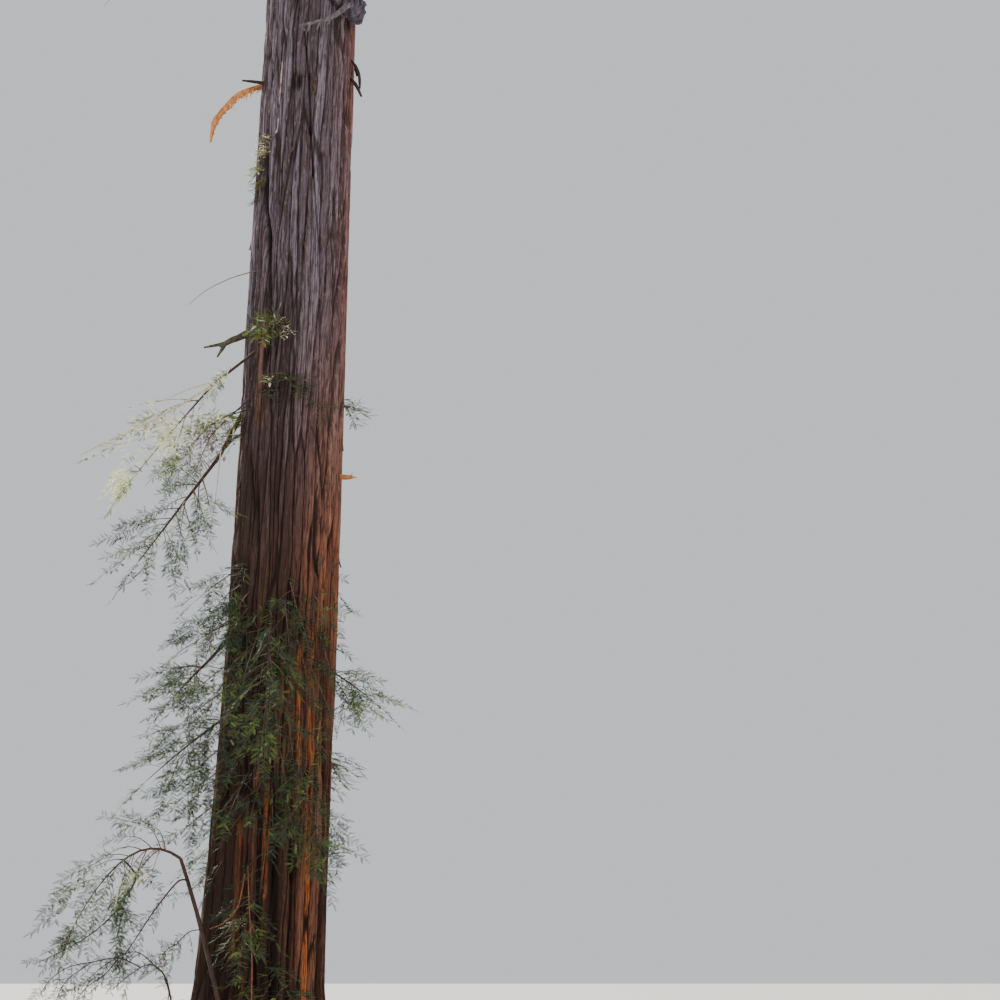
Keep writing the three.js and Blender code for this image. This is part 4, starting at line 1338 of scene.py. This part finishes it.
def sprays_object(name, sprays, shape, surfaces):
    """One piece of foliage, from sprays with a place, a direction, a way up, a length and a tint."""
    source = mesh_object(name, [s[0] * MM for s in sprays], attributes=[
        ("toward", "FLOAT_VECTOR", [s[1] for s in sprays]),
        ("facing", "FLOAT_VECTOR", [s[2] for s in sprays]),
        ("size", "FLOAT", [s[3] * MM for s in sprays]),
        ("tint", "INT", [s[4] for s in sprays]),
    ])
    corners, *sizes = shape
    settings = {**dict(zip(SPRAY_INPUTS, sizes)), **{f"Material {tint}": surfaces[tint] for tint in TINTS}}
    return grown(source, foliage_tree(corners), settings)


# Settings and operators.


def colour_property(label, description, default):
    return FloatVectorProperty(name=label, description=description, default=default, size=3, min=0, max=1,
                               subtype="COLOR")


class RedwoodBark(bpy.types.PropertyGroup):
    """Sizes and colours of the bark."""

    plate_width: FloatProperty(
        name="Plate Width", description="From one furrow to the next", default=0.1, unit="LENGTH")
    cord_width: FloatProperty(
        name="Cord Width", description="Width of the cords along a plate", default=0.04, unit="LENGTH")
    stretch: FloatProperty(
        name="Stretch", description="How many times longer than wide plates and cords are", default=26.0)
    furrow_depth: FloatProperty(
        name="Furrow Depth", description="From the plates down to the furrows", default=0.032, unit="LENGTH")
    cord_depth: FloatProperty(
        name="Cord Depth", description="Height of the cords on the plates", default=0.014, unit="LENGTH")
    # Where the bark sinks between its cords, this colour is partly its own and partly painted shade.
    furrow: colour_property("Furrow", "Colour between the cords", paint(52, 37, 33))
    orange: colour_property("Fresh Bark", "Colour of the fresh orange strips", paint(194, 108, 56))


class RedwoodNeedles(bpy.types.PropertyGroup):
    """Sizes and colours of the needles."""

    needle_length: FloatProperty(
        name="Needle Length", description="As a share of its spray's length", default=0.225)
    needle_width: FloatProperty(
        name="Needle Width", description="As a share of its spray's length", default=0.078)
    crown_length: FloatProperty(
        name="Crown Length", description="The same share for the crown's larger sprays", default=0.3)
    crown_width: FloatProperty(
        name="Crown Width", description="The same share for the crown's larger sprays", default=0.12)
    fold: FloatProperty(
        name="Fold", description="How far the needles turn up from flat", default=0.4, unit="ROTATION")
    low_pairs: IntProperty(name="Low Pairs", description="Pairs of needles on a low spray", default=7)
    crown_pairs: IntProperty(
        name="Crown Pairs", description="Pairs of needles on a spray of the crown", default=9)
    deep: colour_property("Deep", "Needles in deep shade", paint(36, 47, 37))
    shade: colour_property("Shade", "Needles in shade", paint(58, 72, 58))
    mid: colour_property("Mid", "Needles in even light", paint(74, 92, 50))
    # Fresh is the tint for needles in brighter light, one step below full sun: painted light.
    fresh: colour_property("Fresh", "Fresh yellow-green needles", paint(118, 131, 66))
    pale: colour_property("Pale", "Needles in full sun", paint(240, 242, 206))
    brown: colour_property("Brown", "Dead needles", paint(104, 78, 54))


class RedwoodStage(bpy.types.PropertyGroup):
    """The camera, the lights and the floor."""

    lens: FloatProperty(name="Lens", description="Focal length in millimetres", default=72.0)
    eye: FloatVectorProperty(
        name="Eye", description="Where the camera stands", default=(2.42, -21.0, 1.03), subtype="TRANSLATION")
    tilt: FloatProperty(
        name="Tilt", description="How far the camera looks up", default=math.radians(13.5), unit="ROTATION")
    sun: FloatProperty(name="Sun", description="Strength of the low side light", default=9.0)
    fill: FloatProperty(name="Fill", description="Strength of the soft front light", default=1.1)
    sky: FloatProperty(name="Sky", description="Strength of the even light all round", default=0.85)


class TrunkOperator(bpy.types.Operator):
    """Builds the trunk's bark in three stretches"""

    bl_idname = "redwood.trunk"
    bl_label = "Trunk"

    def execute(self, context):
        sizes = context.scene.redwood_bark
        bark = trunk_bark(sizes)
        relief = bark_relief_tree()
        settings = {"Plate Width": sizes.plate_width, "Cord Width": sizes.cord_width,
                    "Stretch": sizes.stretch, "Furrow Depth": sizes.furrow_depth,
                    "Cord Depth": sizes.cord_depth, "Material": bark}
        for name, low, high, columns, rows in (
            ("trunk_foot", 0, 4300, 420, 140), ("trunk_middle", 4300, 12800, 420, 225),
            ("trunk_upper", 12800, TRUNK_TOP, 300, 230),
        ):
            piece = grown(trunk_surface(name, low, high, columns, rows), relief, settings)
            settle(piece, ["trunk"])
        return {"FINISHED"}


class DeadWoodOperator(bpy.types.Operator):
    """Builds the burl, the dead limbs and the stubs"""

    bl_idname = "redwood.dead_wood"
    bl_label = "Dead Wood"

    def execute(self, context):
        grey = wood_material("weathered_wood", (26, 20, 24), (128, 118, 122), 40)
        orange = wood_material("broken_wood", (138, 76, 40), (224, 152, 92), 45)
        moss = wood_material("mossy_wood", (34, 31, 27), (104, 98, 74), 38)
        dark = wood_material("burl_bark", (14, 9, 12), (108, 97, 113), 22)
        shard = wood_material("splinter_wood", (190, 140, 88), (236, 204, 158), 45)
        shaded = wood_material("shaded_bark", (22, 14, 13), (72, 53, 48), 40)
        loose = wood_material("loose_bark", (44, 30, 26), (104, 76, 62), 40)
        rng = random.Random(31)
        lines = dead_limb_lines()

        def limb(name, extra, surface, rough, steps=24):
            """A dead limb in the place of its solid, with more lines that leave it."""
            growth = Growth()
            growth.line(*lines[name], steps)
            for line in extra:
                growth.line(*line)
            settle(limbs_object(f"{name}_wood", growth.lines, 12, rough, surface), [name])

        hook = lines["dead_limb"][0]
        snags = []
        for share in (0.28, 0.42, 0.5, 0.66, 0.8, 0.93):
            way = aim(rng.choice((190, 345)), rng.uniform(-85, -40))
            snags.append((Sweep(hook.point(share), way, rng.uniform(60, 115), 0.1), tapering(18, 0.6), 3))
        limb("dead_limb", snags, grey, 0.9)

        torn = Bend([trunk_point(190, 10925, 0.9), (-510, -120, 10745), (-655, -125, 10590),
                     (-765, -125, 10440), (-805, -130, 10310), (-825, -135, 10165)])
        settle(self.splintered(torn, lines["broken_limb"][1], orange), ["broken_limb"])
        splinters = Growth()
        for _ in range(15):
            share = rng.uniform(0.04, 0.55)
            foot = torn.point(share) + Vector((0, rng.uniform(-18, 18), -18))
            way = aim(rng.uniform(150, 330), rng.uniform(-85, -50))
            splinters.line(Sweep(foot, way, rng.uniform(60, 130), 0), tapering(13, 0.92), 2)
        settle(limbs_object("broken_limb_splinters", splinters.lines, 4, 0.6, shard))

        fork = lines["forked_stub"][0].point(0.86)
        tines = [(Sweep(fork, aim(182, -12), 240, 0), tapering(24, 0.6), 6),
                 (Sweep(fork, aim(205, -62), 190, 0), tapering(26, 0.6), 6)]
        limb("forked_stub", tines, moss, 0.6, steps=14)

        snag = Growth()
        snag.line(Sweep(trunk_point(203, 10890, 0.9), aim(196, 3), 300, 0.04), tapering(26, 0.6), 6)
        settle(limbs_object("dark_snag", snag.lines, 8, 0.9, shaded))

        end = lines["side_stub"][0].point(0.9)
        shreds = []
        for _ in range(9):
            way = aim(rng.uniform(-60, 60), rng.uniform(-50, 60))
            shreds.append((Sweep(end, way, rng.uniform(40, 95), 0), tapering(9, 0.85), 2))
        limb("side_stub", shreds, orange, 0.8, steps=8)

        settle(self.burl(dark), ["burl"])
        settle(self.bark_shreds(loose))
        strips = Growth()
        for points in HANGING_STRIPS:
            bend = Bend([Vector(p) / MM for p in points])
            strips.line(bend, lambda share: 6 + 15 * math.sin(math.pi * (0.1 + 0.8 * share)), 12)
        settle(limbs_object("hanging_strips", strips.lines, 5, 0.9, shaded))
        return {"FINISHED"}

    @staticmethod
    def splintered(curve, thickness, surface):
        """A limb torn off lengthwise: whole above, and split into ragged splinters below."""
        rng = random.Random(14)
        steps, sides = 60, 14
        reach = [rng.uniform(0.1, 0.7) for _ in range(sides)]
        vertices, faces = [], []
        for i in range(steps + 1):
            share = i / steps
            side, lift = frame_of(curve.tangent(share))
            for k in range(sides):
                turn = 2 * math.pi * k / sides
                below = max(0, -math.sin(turn))
                torn = noise.noise(Vector((1.9 * k, 4.2, 10 * share + 2 * reach[k])))
                ragged = 1 - 0.4 * below + below * reach[k] * max(0, 1 - 4 * abs(torn))
                grain = 1 + 0.16 * noise.noise(Vector((3.1 * k, 0, 5 * share)))
                out = thickness(share) * ragged * grain
                p = curve.point(share) + side * (0.62 * out * math.cos(turn)) + lift * (out * math.sin(turn))
                vertices.append(p * MM)
        for i in range(steps):
            for k in range(sides):
                a, c = i * sides + k, i * sides + (k + 1) % sides
                faces.append((a, c, c + sides, a + sides))
        faces.append(tuple(range(sides))[::-1])
        faces.append(tuple(range(steps * sides, (steps + 1) * sides)))
        return mesh_object("broken_limb_wood", vertices, faces=faces, surface=surface)

    @staticmethod
    def burl(surface):
        """A gnarled lump, with pits and folds."""
        form = bmesh.new()
        bmesh.ops.create_icosphere(form, subdivisions=6, radius=1)
        centre = trunk_point(-22, 11850, 0.96)
        for v in form.verts:
            way = v.co.normalized()
            lump = 1 + 0.14 * math.sin(5 * way.x + 2) * math.cos(4 * way.z) + 0.1 * math.sin(7 * way.y)
            fold = abs(noise.noise(way * 1.9)) + 0.35 * abs(noise.noise(way * 4.4))
            lump *= 1.04 - 0.6 * (0.4 - min(fold, 0.4)) + 0.04 * noise.noise(way * 9)
            v.co = (Vector((165 * way.x, 150 * way.y, 210 * way.z)) * lump + centre) * MM
        mesh = bpy.data.meshes.new("burl")
        form.to_mesh(mesh)
        form.free()
        mesh.shade_smooth()
        mesh.materials.append(surface)
        return shown("burl_knot", mesh)

    @staticmethod
    def bark_shreds(surface):
        """Thin strips of bark that hang loose from the trunk."""
        rng = random.Random(8)
        steps = 8
        vertices, faces = [], []
        for _ in range(60):
            heading, top = rng.uniform(0, 360), rng.uniform(2500, 24000)
            length, curl, width = rng.uniform(110, 260), rng.uniform(0.02, 0.09), rng.uniform(1.2, 2.6)
            first = len(vertices)
            for i in range(steps + 1):
                share = i / steps
                stand = 0.98 + curl * share**1.6
                narrow = width * (1 - 0.85 * share**2) * (1 + 0.25 * math.sin(9 * share + top))
                z = top - length * share
                sway = 1.5 * math.sin(3 * share + heading)
                for edge in (-1, 1):
                    for lift in (0, 0.012):
                        p = trunk_point(heading + sway + edge * narrow, z, stand + lift + 0.01 * edge)
                        vertices.append(p * MM)
            for a in range(first, first + 4 * steps, 4):
                faces += [(a, a + 4, a + 6, a + 2), (a + 1, a + 3, a + 7, a + 5),
                          (a, a + 1, a + 5, a + 4), (a + 2, a + 6, a + 7, a + 3)]
            end = first + 4 * steps
            faces += [(first, first + 2, first + 3, first + 1), (end, end + 1, end + 3, end + 2)]
        return mesh_object("bark_shreds", vertices, faces=faces, surface=surface)


class BoughsOperator(bpy.types.Operator):
    """Builds the boughs and the stems that carry the needles"""

    bl_idname = "redwood.boughs"
    bl_label = "Boughs"

    def execute(self, context):
        tree = redwood()
        bark = wood_material("bough_bark", (36, 27, 26), (86, 64, 55), 28)
        growth = Growth()
        for _, curve, radius_at in tree.boughs:
            growth.line(curve, radius_at, 10)
        for mass in tree.masses:
            growth.line(mass["stem"], stem_radius(mass), 10)
        piece = limbs_object("boughs", growth.lines, 8, 0.5, bark)
        settle(piece, [name for name, _, _ in tree.boughs])

        # The pale twigs' bark is painted sunlight.
        for look, (dark, light) in TWIG_BARKS.items():
            thin = Growth()
            for twig in THIN_TWIGS:
                if twig["bark"] == look:
                    thin.line(twig_bend(twig), functools.partial(lerp, *twig["radii"]), 16)
            surface = wood_material(f"{look}_twigs", dark, light, 60)
            settle(limbs_object(f"{look}_twigs", thin.lines, 6, 0.5, surface))
        return {"FINISHED"}


def twig_bend(twig):
    points = [Vector(p) / MM for p in twig["points"]]
    if twig.get("joins"):
        points.insert(0, redwood().nearest_limb(points[0]))
    return Bend(points)


def crown_filler(j):
    """A bough between the crown's own, so that it is full from all sides."""
    roll = dice(SEEDS["filler"] + j)
    share = (j + 0.5) / CROWN_FILLERS
    spec = crown_spec(GOLDEN_TURN * j, lerp(13900, 37700, share**0.92), roll)
    length = spec["length"] * (0.62 + 0.34 * roll())
    start = trunk_point(spec["heading"], spec["z"], 0.8)
    return dict(
        MASS_DEFAULTS, seed=SEEDS["filler_twigs"] + j, in_crown=True, overhang=CROWN_OVERHANG,
        stem=Sweep(start, aim(spec["heading"], spec["pitch"] + 6), length, 0.14),
        radius=14 + 0.008 * length, twigs=9, spread=60, twig_length=0.3 * length,
        spray=max(320, 260 + 0.16 * length), light=0.3 + 0.2 * roll(),
    )


def leader_filler(j):
    """A short twig on the leader, so that the crown narrows evenly to its tip."""
    roll = dice(SEEDS["leader"] + j)
    stem = next(mass["stem"] for mass in redwood().masses if mass["name"] == "needles_leader")
    start = stem.point((j + roll()) / LEADER_TWIGS)
    length = 0.62 * crown_reach(start.z) * (0.8 + 0.3 * roll())
    way = aim(GOLDEN_TURN * j, 24 + 22 * roll())
    return dict(
        MASS_DEFAULTS, seed=SEEDS["leader_twigs"] + j, in_crown=True, overhang=CROWN_OVERHANG,
        stem=Sweep(start, way, length, 0.08), radius=8, twigs=4, spread=50,
        twig_length=0.4 * length, spray=300,
    )


def low_cover(j):
    """Small boughs that hang before the front of the trunk, thinning out downwards."""
    roll = dice(SEEDS["low_cover"] + j)
    heading = lerp(206, 328, (0.618 * j) % 1)
    z = lerp(5150, 2350, ((j + roll()) / LOW_COVER) ** 1.3)
    return dict(at=(heading, z), heading=heading + 24 * (roll() - 0.5), pitch=-34 - 26 * roll(),
                length=300 + 200 * roll(), light=0.12 + 0.24 * roll())


def low_filler(spec, j):
    start = trunk_point(*spec["at"], 0.85)
    stem = Sweep(start, aim(spec["heading"], spec["pitch"]), spec["length"], 0.12)
    return dict(MASS_DEFAULTS, seed=SEEDS["low_filler"] + j, stem=stem, radius=9, twigs=6, spread=56,
                twig_length=0.36 * spec["length"], spray=300, light=spec["light"])


def grow_filler(growth, mass):
    """A short bough with a fan at its tip and at the end of each twig."""
    roll = dice(mass["seed"])
    growth.line(mass["stem"], stem_radius(mass), 8)
    growth.fan(end_sprig(mass), mass["light"])
    for k in range(mass["twigs"]):
        sprig = twig_sprig(mass, k, roll)
        points = sprig_points(sprig)
        if Redwood.in_crown(points, mass) and (Redwood.gap_to_trunk(points) > FILLER_GAP).all():
            growth.branch(sprig, mass["light"])


class LowFoliageOperator(bpy.types.Operator):
    """Builds the needles low on the trunk"""

    bl_idname = "redwood.low_foliage"
    bl_label = "Low Foliage"

    def execute(self, context):
        tree = redwood()
        sizes = context.scene.redwood_needles
        growth = Growth(100, 26, 22, SEEDS["low_growth"])
        low = [mass for mass in tree.masses if not mass["in_crown"]]
        for mass in low:
            growth.cover(tree, mass)
        for j, spec in enumerate([*LOW_FILLERS, *map(low_cover, range(LOW_COVER))]):
            grow_filler(growth, low_filler(spec, j))
        for index, wisp in enumerate(WISPS):
            growth.take(self.sprout(wisp, index))
        for index, pad in enumerate(PADS):
            growth.take(self.pad(pad, index))
        for index, twig in enumerate(THIN_TWIGS):
            if "spray" in twig:
                growth.take(self.clothed(twig, index))
        growth.keep_inside(False)
        surfaces = needle_materials(sizes)
        bark = wood_material("low_twigs", (70, 52, 42), (140, 118, 96), 60)
        settle(limbs_object("low_twigs", growth.lines, 3, 0.0, bark))
        names = [mass["name"] for mass in low]
        each, some = len(names) // LOW_PIECES, len(growth.sprays) // LOW_PIECES + 1
        shape = (4, sizes.low_pairs, sizes.needle_length, sizes.needle_width, sizes.fold)
        for k in range(LOW_PIECES):
            part = growth.sprays[k * some:(k + 1) * some]
            piece = sprays_object(f"low_needles_{k + 1}", part, shape, surfaces)
            settle(piece, names[k * each:(k + 1) * each])
        return {"FINISHED"}

    @staticmethod
    def sprout(wisp, index):
        """A few twigs that leave the bark together."""
        growth = Growth(wisp["spray"], 34, 30, SEEDS["wisp"] + index)
        roll = dice(SEEDS["wisp_twigs"] + index)
        heading, z = wisp["at"]
        for _ in range(wisp["twigs"]):
            start = trunk_point(heading + 8 * (roll() - 0.5), z + 90 * (roll() - 0.5), 0.97)
            way = aim(heading + 110 * (roll() - 0.5), 50 * roll() - 40)
            length = wisp["length"] * (0.7 + 0.6 * roll())
            twig = Sweep(start, way, length, 0.35)
            growth.line(twig, tapering(4, 0.6), 3)
            side, lift = frame_of(way)
            growth.along(twig, length, side, lift, wisp["light"])
        return growth

    @staticmethod
    def pad(pad, index):
        """A dense pad of sprays on a thin stalk from the nearest limb."""
        growth = Growth(66, 14, 13, SEEDS["pad"] + index)
        place = Vector(pad["at"]) / MM
        growth.line(Bend([redwood().nearest_limb(place), place]), tapering(5, 0.2), 4)
        stalk = Sweep(place, aim(pad["heading"], pad["pitch"]), 30, 0)
        sprig = dict(stalk=stalk, radius_at=tapering(5, 0.4), tilt=math.radians(78), size=pad["size"])
        growth.fan(sprig, pad["light"])
        return growth

    @staticmethod
    def clothed(twig, index):
        """Short side twigs with sprays, along the outer part of a thin twig."""
        growth = Growth(twig["spray"], 24, 24, SEEDS["thin_twig"] + index)
        bend = twig_bend(twig)
        for i in range(12):
            share = 0.25 + 0.75 * i / 12
            side, lift = frame_of(bend.tangent(share))
            turn = math.radians(40 + 20 * growth.random.random()) * (1 if i % 2 else -1)
            way = bend.tangent(share) * math.cos(turn) + (lift * math.cos(0.6 * i) + side) * math.sin(turn)
            length = growth.random.uniform(90, 210)
            shoot = Sweep(bend.point(share), way.normalized(), length, 0.3)
            growth.line(shoot, tapering(2.5, 0.5), 3)
            growth.along(shoot, length, lift, side, twig["light"])
        return growth


class CrownOperator(bpy.types.Operator):
    """Builds the needles of the crown, up to the tip"""

    bl_idname = "redwood.crown"
    bl_label = "Crown"

    def execute(self, context):
        tree = redwood()
        sizes = context.scene.redwood_needles
        shape = (3, sizes.crown_pairs, sizes.crown_length, sizes.crown_width, sizes.fold)
        surfaces = needle_materials(sizes)
        bark = wood_material("crown_twigs", (66, 48, 40), (120, 96, 78), 50)
        crown = [mass for mass in tree.masses if mass["in_crown"]]
        fillers = [crown_filler(j) for j in range(CROWN_FILLERS)]
        twigs = []
        for index in range(CROWN_PIECES):
            growth = Growth(420, 118, 84, SEEDS["crown_growth"] + index)
            masses = crown[index::CROWN_PIECES]
            for mass in masses:
                growth.cover(tree, mass)
            for filler in fillers[index::CROWN_PIECES]:
                grow_filler(growth, filler)
            if index == CROWN_PIECES - 1:
                for j in range(LEADER_TWIGS):
                    grow_filler(growth, leader_filler(j))
            growth.keep_inside(True)
            twigs += growth.lines
            names = [mass["name"] for mass in masses]
            for k, first in enumerate(range(0, len(growth.sprays), SPRAYS_A_PIECE)):
                part = growth.sprays[first:first + SPRAYS_A_PIECE]
                piece = sprays_object(f"crown_needles_{index + 1}_{k + 1}", part, shape, surfaces)
                settle(piece, names)
        half = len(twigs) // 2
        for letter, part in (("a", twigs[:half]), ("b", twigs[half:])):
            settle(limbs_object(f"crown_twigs_{letter}", part, 3, 0.0, bark))
        return {"FINISHED"}


class StageOperator(bpy.types.Operator):
    """Sets up the floor, the light and the camera"""

    bl_idname = "redwood.stage"
    bl_label = "Stage"

    def execute(self, context):
        scene, stage = context.scene, context.scene.redwood_stage
        pale, b, shader = material("pale_floor", 0.9)
        grain = b.noise(b.add("ShaderNodeTexCoord", out="Object"), 0.4, 4.0)
        tone = colour_steps(b, grain, [(0.3, paint(206, 205, 202)), (0.7, paint(214, 213, 210))])
        b.tree.links.new(tone, shader.inputs["Base Color"])
        rim = [math.radians(3 * k) for k in range(120)]
        floor = mesh_object("floor", [(600 * math.cos(a), 600 * math.sin(a), 0) for a in rim],
                            faces=[tuple(range(120))], surface=pale)

        scene.world = bpy.data.worlds.new("studio")
        scene.world.use_nodes = True
        backdrop = scene.world.node_tree.nodes["Background"]
        backdrop.inputs["Color"].default_value = (0.83, 0.86, 0.9, 1)
        backdrop.inputs["Strength"].default_value = stage.sky
        for name, strength, angle, tip, turn, colour in (
            ("side_light", stage.sun, 4, 64, -144, (1.0, 0.93, 0.82)),
            ("front_light", stage.fill, 40, 52, 24, (1.0, 0.98, 0.95)),
        ):
            lamp = bpy.data.lights.new(name, "SUN")
            lamp.energy, lamp.angle, lamp.color = strength, math.radians(angle), colour
            holder = shown(name, lamp)
            holder.rotation_euler = (math.radians(tip), 0, math.radians(turn))
            holder.location = (0, 0, 60)

        camera = bpy.data.cameras.new("camera")
        camera.lens, camera.clip_end = stage.lens, 900
        scene.camera = shown("camera", camera)
        scene.camera.location = stage.eye
        scene.camera.rotation_euler = (math.radians(90) + stage.tilt, 0, 0)
        return {"FINISHED"}


class RedwoodPanel(bpy.types.Panel):
    """Lists the tree's parts in the sidebar"""

    bl_idname = "VIEW3D_PT_redwood"
    bl_label = "Coast Redwood"
    bl_space_type = "VIEW_3D"
    bl_region_type = "UI"
    bl_category = "Redwood"

    def draw(self, context):
        for operator in OPERATORS:
            self.layout.operator(operator.bl_idname)
        for name in GROUPS:
            group = getattr(context.scene, name)
            box = self.layout.box()
            for key in group.__annotations__:
                box.prop(group, key)


GROUPS = {"redwood_bark": RedwoodBark, "redwood_needles": RedwoodNeedles, "redwood_stage": RedwoodStage}
OPERATORS = (
    StageOperator, TrunkOperator, DeadWoodOperator, BoughsOperator, LowFoliageOperator, CrownOperator)
CLASSES = (*GROUPS.values(), *OPERATORS, RedwoodPanel)


def register():
    for cls in CLASSES:
        bpy.utils.register_class(cls)
    for name, group in GROUPS.items():
        setattr(bpy.types.Scene, name, PointerProperty(type=group))


def unregister():
    for name in GROUPS:
        delattr(bpy.types.Scene, name)
    for cls in reversed(CLASSES):
        bpy.utils.unregister_class(cls)


def main():
    register()
    bpy.ops.redwood.stage()
    bpy.ops.redwood.trunk()
    bpy.ops.redwood.dead_wood()
    bpy.ops.redwood.boughs()
    bpy.ops.redwood.low_foliage()
    bpy.ops.redwood.crown()


if __name__ == "__main__":
    main()
